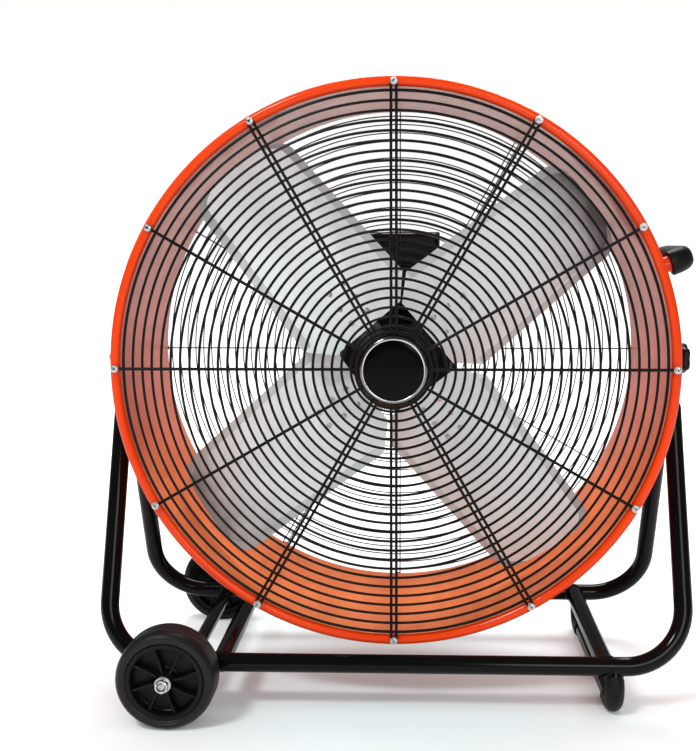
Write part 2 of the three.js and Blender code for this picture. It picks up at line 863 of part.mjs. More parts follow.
function buildStand() {
  put('front_frame_loop', frameLoop(true), BLACK_GLOSS);
  put('rear_frame_loop', frameLoop(false), BLACK_GLOSS);
  put('left_cross_tube', crossTube(LEFT_TUBE_X, FRAME_TUBE_R), BLACK_GLOSS);
  put('wheel_side_tube', crossTube(WHEEL_SIDE_TUBE_X, WHEEL_SIDE_TUBE_R), BLACK_GLOSS);
  put('right_cross_tube', rightCrossTube(), BLACK_GLOSS);
  put('skid_tube', skidTube(), BLACK_GLOSS);
  put('skid_sleeve_front', skidSleeve(-1), RUBBER);
  put('skid_sleeve_rear', skidSleeve(1), RUBBER);
}

function buildWheels() {
  for (const [word, side] of [['front', -1], ['rear', 1]]) {
    put(`${word}_wheel_tyre`, placeWheel(tyre(), side), RUBBER);
    put(`${word}_wheel_hub`, placeWheel(wheelHub(), side), BLACK_PLASTIC);
    put(`${word}_wheel_stud`, placeWheel(wheelStud(), side), ZINC);
    put(`${word}_wheel_spacer`, placeWheel(wheelSpacer(), side), ZINC);
    put(`${word}_wheel_nut`, placeWheel(wheelNut(), side), ZINC);
  }
}

function buildPivots() {
  for (const [word, side] of [['left', -1], ['right', 1]]) {
    put(`${word}_pivot_boss`, placePivot(pivotBoss(), side), ORANGE);
    put(`${word}_pivot_stud`, placePivot(pivotStud(), side), ZINC);
    const inner = collarX(5.4, 14, 333.4, 335.8, 12);
    put(`${word}_inner_washer`, placePivot(inner, side), BLACK_PLASTIC);
    const outer = collarX(5.4, 12, 346, 348, 12);
    put(`${word}_outer_washer`, placePivot(outer, side), ZINC);
  }
  put('left_cap_nut', placePivot(capNut(), -1), ZINC);
  put('tilt_lock_knob', placePivot(tiltKnob(), 1), BLACK_PLASTIC);
}

function buildDrum() {
  put('drum_shell', drumShell(), ORANGE);
  put('handle_tube', handleTube(), ORANGE);
  put('handle_grip', handleGrip(), RUBBER);
  const rings = grilleRings();
  const spokes = grilleSpokes();
  put('front_grille_rings', placeGrille(rings, true), BLACK_WIRE);
  put('front_grille_spokes', placeGrille(spokes, true), BLACK_WIRE);
  put('rear_grille_rings', placeGrille(rings, false), BLACK_WIRE);
  put('rear_grille_spokes', placeGrille(spokes, false), BLACK_WIRE);
  put('badge_ring', badgeRing(), ALUMINIUM);
  put('badge_disc', badgeDisc(), BLACK_PLASTIC);
}

function buildRotor() {
  put('motor_shaft', motorShaft(), ZINC);
  put('rotor_spider', spider(), BLACK_GLOSS);
  put('rotor_hub_nut', hubNut(), ZINC);
  for (let k = 0; k < 4; k += 1) {
    put(`blade_${k + 1}`, blade(k), ALUMINIUM);
  }
}

function buildMotor() {
  put('motor_body', motorBody(), BLACK_GLOSS);
  put('motor_mount_plate', motorPlate(), BLACK_GLOSS);
  put('motor_lead', motorLead(), RUBBER);
  put('control_box', controlBox(), BLACK_PLASTIC);
  put('control_cover', controlCover(), BLACK_PLASTIC);
  put('switch_knob', switchKnob(), BLACK_PLASTIC);
  put('cord_gland', cordGland(), BLACK_PLASTIC);
}

buildStand();
buildWheels();
buildPivots();
buildDrum();
buildRotor();
buildMotor();

export default group;
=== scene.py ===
"""Looks of a wheeled drum fan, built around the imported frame; lengths are in millimetres."""
from math import asin, atan2, copysign, cos, degrees, hypot, pi, radians, sin, sqrt, tan

import bmesh
import bpy
from mathutils import Matrix, Vector

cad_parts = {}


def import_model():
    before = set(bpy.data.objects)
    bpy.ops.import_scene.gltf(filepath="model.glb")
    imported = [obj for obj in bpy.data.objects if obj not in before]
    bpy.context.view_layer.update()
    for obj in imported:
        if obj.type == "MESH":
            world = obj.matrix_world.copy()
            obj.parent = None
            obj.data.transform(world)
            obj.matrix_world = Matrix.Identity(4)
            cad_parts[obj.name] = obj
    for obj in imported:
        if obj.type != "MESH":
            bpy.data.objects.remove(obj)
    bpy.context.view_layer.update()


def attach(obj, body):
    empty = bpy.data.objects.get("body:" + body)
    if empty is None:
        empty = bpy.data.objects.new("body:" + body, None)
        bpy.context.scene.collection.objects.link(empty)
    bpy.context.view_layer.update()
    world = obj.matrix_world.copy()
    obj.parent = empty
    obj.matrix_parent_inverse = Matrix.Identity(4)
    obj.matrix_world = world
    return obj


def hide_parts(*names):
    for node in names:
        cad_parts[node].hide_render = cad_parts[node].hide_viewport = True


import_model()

AXIS = 403.0  # height of the drum axis and of the tilt pivot
METRES = 0.001  # a millimetre
X = Vector((1, 0, 0))
Y = Vector((0, 1, 0))
TAU = 2 * pi
ENDS = (("front", -1), ("rear", 1))  # with their side along Y


# ---- materials

def feed(target, value):
    """Gives an input a value, or links it to another node's output."""
    if isinstance(value, bpy.types.NodeSocket):
        value.id_data.links.new(value, target)
    else:
        target.default_value = value


def tune(n, **settings):
    """Each keyword is a property of the node or else the name of an input."""
    for key, value in settings.items():
        if hasattr(n, key):
            setattr(n, key, value)
        else:
            feed(n.inputs[key.replace("_", " ")], value)


def node(tree, kind, *values, **settings):
    """A shader node whose inputs take the values in order."""
    n = tree.nodes.new("ShaderNode" + kind)
    tune(n, **settings)
    for target, value in zip(n.inputs, values):
        feed(target, value)
    return n


def position(tree):
    """The place in the object's own coordinates."""
    return node(tree, "TexCoord").outputs["Object"]


def ramp(factor, *stops):
    """A colour for a factor from 0 to 1, from (place, colour) stops."""
    r = node(factor.id_data, "ValToRGB", factor)
    while len(r.color_ramp.elements) < len(stops):
        r.color_ramp.elements.new(0.5)
    for element, (place, colour) in zip(r.color_ramp.elements, stops):
        element.position = place
        element.color = (*colour, 1)
    return r.outputs["Color"]


def noise(tree, scale, detail=4, rough=0.5, stretch=(1, 1, 1)):
    """Noise in the object's own space; scale is in features per metre."""
    size = node(tree, "Mapping", position(tree), Scale=stretch)
    n = node(tree, "TexNoise", size.outputs["Vector"], Scale=scale, Detail=detail,
             Roughness=rough)
    return n.outputs["Fac"]


def span(value, low, high, start=0.3, end=0.7):
    """Maps a value between start and end to one between low and high."""
    m = node(value.id_data, "MapRange", value, start, end, low, high)
    return m.outputs["Result"]


def bump(height, strength, distance):
    """A normal raised by a height map, at most by distance in metres."""
    b = node(height.id_data, "Bump", Strength=strength, Distance=distance, Height=height)
    return b.outputs["Normal"]


def new_material(name, colour, **sockets):
    """A plain material; each keyword names a socket of its shader."""
    m = bpy.data.materials.new(name)
    m.use_nodes = True
    shader = m.node_tree.nodes["Principled BSDF"]
    tune(shader, Base_Color=(*colour, 1), **sockets)
    m.diffuse_color = (*colour, 1)
    return m, m.node_tree, shader


def speckled(name, dark, light, rough, grain, height, shine=0.16, **sockets):
    """Broad patches of two colours, uneven gloss and a fine grain."""
    m, tree, shader = new_material(name, light, Specular_IOR_Level=shine, **sockets)
    tune(shader, Base_Color=ramp(noise(tree, 6, 3), (0.35, dark), (0.65, light)),
         Roughness=span(noise(tree, 42, 5, 0.6), *rough),
         Normal=bump(noise(tree, grain, 3, 0.55), height, 0.0004))
    return m


def brushed(name, base, rough, stretch, tint=0.06):
    """Metal with fine parallel scratches."""
    m, tree, shader = new_material(name, base, Metallic=1.0)
    lines = noise(tree, 260, 5, 0.65, stretch)
    low = tuple(max(0, c - tint) for c in base)
    tune(shader, Base_Color=ramp(lines, (0.3, low), (0.7, base)), Roughness=span(lines, *rough),
         Normal=bump(lines, 0.12, 0.0002))
    return m


def distance_from_axis(tree):
    """The distance in metres from the drum axis."""
    centre = (0, 0, METRES * AXIS)
    centred = node(tree, "VectorMath", position(tree), centre, operation="SUBTRACT")
    flat = node(tree, "VectorMath", centred.outputs[0], (1, 0, 1), operation="MULTIPLY")
    return node(tree, "VectorMath", flat.outputs[0], operation="LENGTH").outputs["Value"]


def multiply(first, second, factor):
    """One colour darkened by another, as far as the factor says."""
    mix = node(first.id_data, "Mix", factor, data_type="RGBA", blend_type="MULTIPLY")
    colour_a, colour_b, colour_out = mix.inputs[6], mix.inputs[7], mix.outputs[2]
    feed(colour_a, first)
    feed(colour_b, second)
    return colour_out


BLADE_START, BLADE_END = 0.05, 0.31  # metres from the axis


def cool(value):
    """A grey with a faint blue cast."""
    return (value * 0.93, value, value * 1.01)


def shaded_blade_metal(name, root, middle, tip):
    """Satin sheet with painted shade that darkens its tone from the root to the tip."""
    m, tree, shader = new_material(name, (middle, middle, middle), Metallic=0.12)
    wobble = span(noise(tree, 14, 4), -0.02, 0.02)
    far = node(tree, "Math", distance_from_axis(tree), wobble, operation="ADD")
    # Painted shade: the tone darkens towards the tip, where the drum's wall shades the blade.
    tone = ramp(span(far.outputs[0], 0, 1, BLADE_START, BLADE_END), (0.0, cool(root)),
                (0.6, cool(middle)), (0.78, cool(0.7 * middle + 0.3 * tip)), (0.95, cool(tip)))
    streak = noise(tree, 60, 5, 0.6, (1, 0.2, 1))
    fine = ramp(streak, (0.3, (0.86, 0.86, 0.86)), (0.7, (1, 1, 1)))
    tune(shader, Base_Color=multiply(tone, fine, 0.5), Roughness=span(streak, 0.34, 0.5),
         Normal=bump(streak, 0.08, 0.0003))
    return m


WALL_LIGHT_LOW, WALL_LIGHT_HIGH = 0.1, 0.7  # heights in metres over which the inner wall's painted light and shade changes


def inside_paint():
    """The inner wall, with painted light and shade by height: bright orange low down, darker at
    mid height, paler and pinker higher up.
    """
    m, tree, shader = new_material("orange_inside_painted_light", (0.85, 0.2, 0.08), Coat_Weight=0.15,
                                   Coat_Roughness=0.15, Specular_IOR_Level=0.2)
    height = node(tree, "SeparateXYZ", position(tree)).outputs["Z"]
    base = ramp(span(height, 0, 1, WALL_LIGHT_LOW, WALL_LIGHT_HIGH), (0.0, (0.98, 0.25, 0.07)),
                (0.25, (0.96, 0.21, 0.06)), (0.45, (0.72, 0.12, 0.05)),
                (0.7, (0.62, 0.16, 0.10)), (1.0, (0.62, 0.32, 0.27)))
    cloud = ramp(noise(tree, 16, 5, 0.6, (1, 0.12, 1)), (0.35, (0.72, 0.62, 0.58)),
                 (0.55, (1, 1, 1)))
    tune(shader, Base_Color=multiply(base, cloud, 0.6),
         Roughness=span(noise(tree, 40, 5, 0.6), 0.28, 0.4),
         Normal=bump(noise(tree, 900, 3, 0.55), 0.02, 0.0004))
    return m


ORANGE = speckled("orange_powder_coat", (0.60, 0.034, 0.0006), (0.67, 0.042, 0.0008),
                  (0.2, 0.28), 900, 0.06, 0.08, Coat_Weight=0.3, Coat_Roughness=0.05)
INSIDE_PAINTED_LIGHT = inside_paint()
BLACK = speckled("black_gloss_coat", (0.0018, 0.0018, 0.002), (0.003, 0.003, 0.0033),
                 (0.08, 0.14), 700, 0.03, 0.14)
WIRE = speckled("black_wire_coat", (0.0015, 0.0015, 0.0015), (0.0028, 0.0028, 0.0028),
                (0.34, 0.44), 1400, 0.12)
# The rear grille's black wire painted lighter grey: painted light on it as seen through the drum.
LIT_REAR_WIRE = speckled("rear_wire_painted_light", (0.02, 0.0195, 0.019), (0.035, 0.034, 0.033),
                    (0.5, 0.6), 1400, 0.12)
RUBBER = speckled("rubber", (0.003, 0.003, 0.003), (0.006, 0.0058, 0.0056),
                  (0.42, 0.56), 1500, 0.25)
TYRE = speckled("tyre_rubber", (0.003, 0.003, 0.003), (0.007, 0.0068, 0.0066),
                (0.36, 0.5), 1100, 0.3, 0.3)
PLASTIC = speckled("black_plastic", (0.003, 0.003, 0.0033), (0.005, 0.005, 0.0053),
                   (0.3, 0.4), 2200, 0.2)
GLOSS = speckled("gloss_black", (0.0008, 0.0008, 0.0009), (0.0012, 0.0012, 0.0013),
                 (0.10, 0.16), 500, 0.02, 0.08)
ZINC = brushed("zinc_plate", (0.66, 0.67, 0.68), (0.24, 0.4), (1, 1, 1))
STEEL = brushed("turned_steel", (0.5, 0.5, 0.51), (0.2, 0.34), (1, 6, 1))
BEZEL = brushed("dark_bezel", (0.2, 0.2, 0.204), (0.1, 0.18), (1, 8, 1), 0.04)
TICK = brushed("bright_tick", (0.72, 0.73, 0.74), (0.2, 0.3), (1, 1, 1), 0.04)
# Each blade's painted light and shade at its root, middle and tip: lit and shaded copies of one
# metal, darker towards the tip.
BLADE_SHADE_TONES = [(0.93, 0.88, 0.12), (0.88, 0.86, 0.82), (0.96, 0.9, 0.25), (0.98, 0.98, 0.97)]
BLADES = [shaded_blade_metal(f"shaded_blade_metal_{k + 1}", *tones) for k, tones in enumerate(BLADE_SHADE_TONES)]
# The hem strips: the blade metal painted darker, as painted shade on the bent edges.
HEM_SHADE = shaded_blade_metal("blade_hem_painted_shade", 0.72, 0.66, 0.4)
# The weld beads' own dark coat, also used as painted shade in the grille screws' recesses.
WELD_AND_RECESS_SHADE = speckled("weld_coat_and_recess_shade", (0.002, 0.002, 0.0024), (0.005, 0.005, 0.0054),
                (0.2, 0.45), 500, 0.4, 0.3)


SLOT_MATERIALS = {
    "orange_paint": [ORANGE, INSIDE_PAINTED_LIGHT],
    "black_paint": [BLACK, WELD_AND_RECESS_SHADE],
    "black_wire": [WIRE, LIT_REAR_WIRE],
    "rubber": [RUBBER], "tyre": [TYRE], "black_plastic": [PLASTIC], "gloss_black": [GLOSS],
    "zinc_steel": [ZINC, STEEL],
    "aluminium": [BEZEL, TICK, HEM_SHADE, *BLADES],
}
SLOTS = {m.name: slot for slot, group in SLOT_MATERIALS.items() for m in group}


# ---- mesh building

def into_scene(name, data):
    """A new object with this data, linked into the scene."""
    o = bpy.data.objects.new(name, data)
    bpy.context.scene.collection.objects.link(o)
    return o


MERGE = 1e-7  # metres within which points are one
SMALLEST_R = 0.02  # a lathe's point on the axis becomes a tiny ring


def add(name, form, material, body, *replaces, sharp=38, marks=None):
    """A closed mesh from points in mm and faces, smooth up to the angle sharp in degrees.

    The names after the body are the solids it replaces; marks numbers each face's material.
    """
    verts, faces = form
    mesh = bpy.data.meshes.new(name)
    mesh.from_pydata([tuple(METRES * c for c in v) for v in verts], [], faces)
    for m in material if isinstance(material, (list, tuple)) else [material]:
        mesh.materials.append(m)
    if marks:
        mesh.polygons.foreach_set("material_index", marks)
    bm = bmesh.new()
    bm.from_mesh(mesh)
    bmesh.ops.remove_doubles(bm, verts=bm.verts, dist=MERGE)
    bmesh.ops.recalc_face_normals(bm, faces=bm.faces)
    limit = radians(sharp)
    for face in bm.faces:
        face.smooth = True
    for edge in bm.edges:
        edge.smooth = len(edge.link_faces) == 2 and edge.calc_face_angle(0) < limit
    bm.to_mesh(mesh)
    bm.free()
    o = into_scene(name, mesh)
    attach(o, body)
    if replaces:
        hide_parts(*replaces)


class Pile:
    """Collects points and faces of several closed forms for one piece."""

    def __init__(self, *first):
        self.verts, self.faces, self.marks = [], [], []
        if first:
            self.put(*first)

    def put(self, form, move=Matrix(), mark=0):
        verts, faces = form
        base = len(self.verts)
        self.verts += [move @ Vector(v) for v in verts]
        self.faces += [tuple(base + i for i in f) for f in faces]
        self.marks += [mark] * len(faces)

    def add(self, name, material, body, *replaces, **more):
        if any(self.marks):
            more["marks"] = self.marks
        add(name, (self.verts, self.faces), material, body, *replaces, **more)


def turns(count, start=0):
    """Angles once round a circle."""
    return [TAU * (k + start) / count for k in range(count)]


def polar(radius, angle):
    return radius * cos(angle), radius * sin(angle)


def skin(rings, wrap=False):
    """Quads between rings of equal length; flat fans close both ends unless wrapped."""
    n = len(rings[0])
    verts = [p for ring in rings for p in ring]
    faces = []
    count = len(rings)
    for i in range(count if wrap else count - 1):
        a, b = i * n, ((i + 1) % count) * n
        for k in range(n):
            j = (k + 1) % n
            faces.append((a + k, a + j, b + j, b + k))
    if not wrap:
        faces.append(tuple(reversed(range(n))))
        faces.append(tuple(range((count - 1) * n, count * n)))
    return verts, faces


def lathe(profile, segments=64, centre=(0, 0, AXIS), axis="Y", side=1):
    """Revolves (radius, along) pairs, into a ring if they start off the axis."""
    rings = []
    for r, along in profile:
        ring = []
        for a in turns(segments):
            c, s = polar(max(r, SMALLEST_R), a)
            spot = {"X": (side * along, c, s), "Y": (c, side * along, s), "Z": (c, s, along)}
            ring.append(tuple(m + n for m, n in zip(centre, spot[axis])))
        rings.append(ring)
    return skin(rings, wrap=profile[0][0] > 0)


def rounded_path(corners, radius, steps):
    """(point, direction) pairs along straight runs joined by arcs of one radius."""
    pts = [Vector(c) for c in corners]
    path = [(pts[0], (pts[1] - pts[0]).normalized())]
    for i in range(1, len(pts) - 1):
        before = (pts[i] - pts[i - 1]).normalized()
        after = (pts[i + 1] - pts[i]).normalized()
        turn = before.angle(after)
        centre = pts[i] + (after - before).normalized() * (radius / cos(turn / 2))
        start = pts[i] - before * radius * tan(turn / 2) - centre
        axis = before.cross(after).normalized()
        for k in range(steps + 1):
            spin = Matrix.Rotation(turn * k / steps, 3, axis)
            path.append((centre + spin @ start, spin @ before))
    path.append((pts[-1], (pts[-1] - pts[-2]).normalized()))
    return path


def section(p, u, v, a, b, sides, power=1.0):
    """A ring of half widths a and b round p; a power under 1 squares its corners."""
    ring = []
    for t in turns(sides):
        c, s = polar(1, t)
        du = copysign(abs(c) ** power, c) * a
        dv = copysign(abs(s) ** power, s) * b
        ring.append(p + u * du + v * dv)
    return ring


def sweep(path, normal, radius, sides):
    """A rod along a flat path; radius is a number or a function of the station."""
    n = Vector(normal).normalized()
    size = radius if callable(radius) else lambda i: radius
    return skin([section(p, n.cross(t), n, size(i), size(i), sides)
                 for i, (p, t) in enumerate(path)])


def tube(corners, normal, bend, radius, sides, steps):
    """A rod through corners in one plane, bent round each of them."""
    return sweep(rounded_path(corners, bend, steps), normal, radius, sides)


def closed_wire(points, radius, sides=8):
    """A wire along a closed loop of points."""
    n = len(points)
    rings = []
    for i, p in enumerate(points):
        t = (points[(i + 1) % n] - points[i - 1]).normalized()
        u = t.cross(Y if abs(t.dot(Y)) < 0.9 else X).normalized()
        size = radius(i) if callable(radius) else radius
        rings.append(section(p, u, t.cross(u), size, size, sides))
    return skin(rings, wrap=True)


def uneven(base, *waves):
    """The radius of a weld bead at each step, from (size, rate) waves."""
    return lambda i: sum((size * sin(i * rate) for size, rate in waves), base)


def block(lo, hi, soft, steps):
    """A box with rounded edges."""
    bm = bmesh.new()
    bmesh.ops.create_cube(bm, size=1)
    lo, hi = Vector(lo), Vector(hi)
    for v in bm.verts:
        v.co = Vector(lo[i] if v.co[i] < 0 else hi[i] for i in range(3))
    bmesh.ops.bevel(bm, geom=bm.edges[:], offset=soft, segments=steps, profile=0.5, affect="EDGES")
    verts = [v.co.copy() for v in bm.verts]
    faces = [tuple(v.index for v in f.verts) for f in bm.faces]
    bm.free()
    return verts, faces


def star_head(radius, height, deep, inner, outer):
    """A domed screw head on z = 0 with a cross-shaped recess."""
    def ring(z, radius_at):
        return [(*polar(radius_at(a), a), z) for a in turns(40)]

    def star(scale):
        def at(angle):
            part = abs(((angle * 4 / TAU) % 1) - 0.5) * 2
            return scale * (inner + (outer - inner) * max(0, (part - 0.55) / 0.45) ** 0.5)
        return at
    rings = [
        ring(0, lambda a: radius),
        ring(0.35 * height, lambda a: radius),
        ring(0.75 * height, lambda a: radius * 0.88),
        ring(height, lambda a: radius * 0.62),
        ring(height, star(1.0)),
        ring(height - deep, star(0.8)),
    ]
    return skin(rings)


def hex_angle(a):
    """The angle from the middle of the nearest flat of a hexagon."""
    return (a + pi / 6) % (pi / 3) - pi / 6


def hexagon(across, height, soft=0.6):
    """A hexagonal nut or head on z = 0 with worn corners."""
    out = across / sqrt(3)
    rings = []
    for z, share in ((0, 0.94), (soft, 1.0), (height - soft, 1.0), (height, 0.9)):
        rings.append([(*polar(min(across / 2 / cos(hex_angle(a)), out * share), a), z)
                      for a in turns(48)])
    return skin(rings)


def facing(direction, at, spin=0.0):
    """Moves something built on z = 0 so that its +z looks along a direction."""
    d = Vector(direction).normalized()
    turn = d.to_track_quat("Z", "Y").to_matrix().to_4x4()
    return Matrix.Translation(at) @ turn @ Matrix.Rotation(spin, 4, "Z")


def around(angle, radius, y):
    """A point on a circle about the drum axis; the angle counts from +X, upwards."""
    return Vector((radius * cos(angle), y, AXIS + radius * sin(angle)))


# ---- stand

FRAME_X = 341.0  # centre line of the uprights
BAR_Y = 134.0  # front and rear bar, before and behind the pivot
BAR_Z = 56.0
TUBE_R = 11.0
FRAME_BEND_R = 70.0
TAB_OFFSET = 2.5  # the flattened ends of both loops lie side by side
TAB_LENGTH = 62.0  # from the pivot to where the tube is round
TAB_FADE = 20.0  # its last stretch, where the offset runs out


def frame_loop(name, side):
    """A loop of bent tube from pivot to pivot, flattened to a tab at both ends."""
    pivots = [Vector((x, 0, AXIS)) for x in (-FRAME_X, FRAME_X)]
    low = [Vector((x, side * BAR_Y, BAR_Z)) for x in (-FRAME_X, FRAME_X)]
    down = (low[0] - pivots[0]).normalized()
    normal = X.cross(down).normalized()
    # Distance below the pivot, half width, half thickness and squareness of the tab.
    profile = [(-15.5, 4.5, 1.6, 0.5), (-15.3, 5.6, 2.2, 0.45), (-14, 8.4, 2.3, 0.4),
               (-11.5, 11.4, 2.3, 0.4), (-8, 13.9, 2.3, 0.4), (-4, 15.5, 2.3, 0.4),
               (0, 16, 2.3, 0.4), (14, 16, 2.3, 0.4), (26, 14.9, 2.3, 0.4), (38, 13.5, 2.3, 0.4),
               (43, 13, 2.6, 0.42), (46, 12.8, 3.5, 0.5), (49, 12.5, 5.2, 0.6),
               (53, 12, 7.6, 0.75), (57, 11.5, 9.6, 0.9), (62, 11, 11, 1.0)]
    rings = []
    for end, out in zip(pivots, (-1, 1)):
        part = []
        for s, wide, thick, power in profile:
            blend = min(1, max(0, (TAB_LENGTH - s) / TAB_FADE))
            p = end + down * s + X * (out * TAB_OFFSET * side * blend)
            u = normal.cross(down) * -out
            part.append(section(p, u, normal, thick, wide, 32, power))
        rings.append(part)
    middle = rounded_path([pivots[0], *low, pivots[1]], FRAME_BEND_R, 16)[1:-1]
    bend = [section(p, normal.cross(t), normal, TUBE_R, TUBE_R, 32) for p, t in middle]
    node_name = name + "_frame_loop"
    add(node_name + "_tube", skin(rings[0] + bend + rings[1][::-1]), BLACK, "stand", node_name)


COPE_DEPTH = 0.8  # how far a cross tube's end sinks into the bar
COPE_RUN_Y = 100.0  # the cross tube is plain up to here
WELD_LIFT = 0.4  # from both tubes to the middle of a weld bead


def cope_reach(bar_r, dz):
    """Where along Y the bar's surface lies, at a height above its centre line."""
    return BAR_Y - sqrt(max(0, bar_r ** 2 - dz * dz))


def coped_tube(name, node_name, x, radius):
    """A cross tube cut to fit the round bars, and its two welds."""
    ends = []
    for side in (-1, 1):
        end = []
        for a in turns(32):
            dx, dz = polar(radius, a)
            reach = cope_reach(TUBE_R - COPE_DEPTH, dz)
            end.append(Vector((x + dx, side * reach, BAR_Z + dz)))
        ends.append((end, [Vector((p.x, side * COPE_RUN_Y, p.z)) for p in end]))
    (front, front_run), (rear, rear_run) = ends
    add(name, skin([front, front_run, rear_run, rear]), BLACK, "stand", node_name)
    for word, side in ENDS:
        loop = []
        for a in turns(48):
            dz = (radius + WELD_LIFT) * sin(a)
            reach = cope_reach(TUBE_R + WELD_LIFT, dz)
            out = (radius + 0.5) * cos(a)
            loop.append(Vector((x + out, side * min(reach, BAR_Y - 1), BAR_Z + dz)))
        bead = closed_wire(loop, uneven(1.5, (0.25, 2.1), (0.15, 5.3)))
        add(f"{name}_{word}_weld", bead, WELD_AND_RECESS_SHADE, "stand")


SKID_X = 257.0
SKID_Z = 10.4
SKID_LEAN = 22.0  # how far it stands out beyond the bars
SKID_BEND_R = 20.0
SKID_TUBE_R = 9.0
SKID_START = 0.17  # share of the leg that lies inside the bar
SLEEVE_R = 11.0
SLEEVE_SHARE = 0.74  # how far up the leg a sleeve reaches
SLEEVE_END_Y = 106.0  # where a sleeve ends on the floor run


def skid():
    """The floor rail under the right side, its two welds and its two plastic sleeves."""
    high = {side: Vector((SKID_X, side * BAR_Y, BAR_Z)) for side in (-1, 1)}
    low = {side: Vector((SKID_X, side * (BAR_Y + SKID_LEAN), SKID_Z)) for side in (-1, 1)}
    start, end = (high[side].lerp(low[side], SKID_START) for side in (-1, 1))
    run = tube([start, low[-1], low[1], end], X, SKID_BEND_R, SKID_TUBE_R, 32, 14)
    add("skid_run", run, BLACK, "stand", "skid_tube")
    for word, side in ENDS:
        down = (low[side] - high[side]).normalized()
        across = down.cross(X)
        weld_r = SKID_TUBE_R + WELD_LIFT
        loop = []
        for a in turns(40):
            along, off = polar(weld_r, a)
            drop = sqrt((TUBE_R + 0.3) ** 2 - off * off)
            loop.append(high[side] + X * along + across * off + down * drop)
        bead = closed_wire(loop, uneven(1.4, (0.25, 1.9), (0.15, 4.7)))
        add(f"skid_{word}_weld", bead, WELD_AND_RECESS_SHADE, "stand")
        top = low[side].lerp(high[side], SLEEVE_SHARE)
        end = Vector((SKID_X, side * SLEEVE_END_Y, SKID_Z))
        path = rounded_path([top, low[side], end], SKID_BEND_R, 14)
        path.insert(1, (path[0][0].lerp(path[1][0], 0.4), path[0][1]))
        last, ahead = path.pop()
        path += [(last + Y * side * d, ahead) for d in (8, 2, 1.2)] + [(last, ahead)]
        size = [SLEEVE_R] * len(path)
        size[0] = size[-1] = SLEEVE_R - 0.8
        size[-2] = SLEEVE_R - 0.3
        verts, faces = sweep(path, X, size.__getitem__, 32)
        # The sole is worn flat where it stands on the floor.
        verts = [Vector((v.x, v.y, max(v.z, 0.0))) for v in verts]
        add(f"skid_sleeve_{word}_rubber", (verts, faces), RUBBER, "stand", f"skid_sleeve_{word}")


frame_loop("front", -1)
frame_loop("rear", 1)
coped_tube("left_cross_tube_run", "left_cross_tube", -204, 11)
coped_tube("wheel_side_tube_run", "wheel_side_tube", -242, 8.5)
coped_tube("right_cross_tube_run", "right_cross_tube", 248, 11)
skid()


# ---- wheels

WHEEL_X = -256.5
WHEEL_R = 57.0
WHEEL_AXIS = (WHEEL_X, 0, WHEEL_R)
RIB_COUNT = 8
RIB_START, RIB_END = 11.0, 38.9  # radii
RIB_SLOPE = 28.0  # the length over which they drop and lean
WHEEL_FACES = ((185, 197), (168.4, 158.5))  # web and rib top, outside and inside


def ring_arc(cx, cy, radius, start, end, steps):
    """Points along an arc, between two angles in degrees."""
    out = []
    for k in range(steps + 1):
        a = radians(start + (end - start) * k / steps)
        out.append((cx + radius * cos(a), cy + radius * sin(a)))
    return out


def wheel(word, side):
    """A rubber tyre with two grooves on a moulded hub with eight ribs on each face."""
    body = word + "_wheel"
    tread = [(44.9, 198.3), (46.1, 199.2), (48, 199.4), (48.6, 199.9), (50, 200), (52.6, 199.4),
             (53.2, 198.7), (54.8, 197.4), (56, 195.2), (56.7, 192.4), (57, 189.5), (57, 184.2),
             (56.2, 183.7), (56.2, 182.7), (57, 182.2), (57, 173.8), (56.2, 173.3), (56.2, 172.3),
             (57, 171.8), (57, 166.5), (56.7, 163.6), (56, 160.8), (54.8, 158.6), (51.8, 156.8),
             (49, 156), (46.6, 156.4), (44.9, 157.6)]
    add(body + "_rubber", lathe(tread, 128, WHEEL_AXIS, side=side), TYRE, body,
        body + "_tyre", sharp=25)
    rim = [(5.4, 203), (8.8, 203), (9.8, 202.6), (10.3, 201.6), (11.6, 191), (12.6, 186.2),
           (14, 185.2), (37, 185.2), (38.2, 186.2), (38.8, 196.6), (39.3, 198), (40.6, 198.6),
           (43.2, 199.4), (44.1, 199.2), (44.5, 198.4), (44.5, 157.4), (43.8, 157), (40.2, 157.2),
           (39.3, 158), (38.5, 167.2), (37, 168.2), (14.2, 168.2), (13, 167.4), (12.2, 157),
           (11.4, 156.2), (5.4, 156)]
    hub = Pile(lathe(rim, 80, WHEEL_AXIS, side=side))
    for k in range(RIB_COUNT):
        a = TAU * k / RIB_COUNT + 0.2
        for near, far in WHEEL_FACES:
            rib = []
            for r, wide in ((RIB_START, 1.9), (24, 1.5), (RIB_END, 1.9)):
                share = (r - RIB_START) / RIB_SLOPE
                d = Vector((cos(a + 0.10 * share), 0, sin(a + 0.10 * share)))
                across = Vector((-d.z, 0, d.x))
                top = far - copysign(1.5, far - near) * share
                rib.append([d * r + across * wide * w + Y * side * y
                            for w, y in ((-1, near), (1, near), (0.7, top), (-0.7, top))])
            hub.put(skin(rib), Matrix.Translation(WHEEL_AXIS))
    hub.add(body + "_moulding", PLASTIC, body, body + "_hub", sharp=32)


THREAD_START = 203.5
THREAD_PITCH = 1.25
THREAD_TURNS = 5
NUT_ACROSS = 14.2  # across the flats of a wheel nut


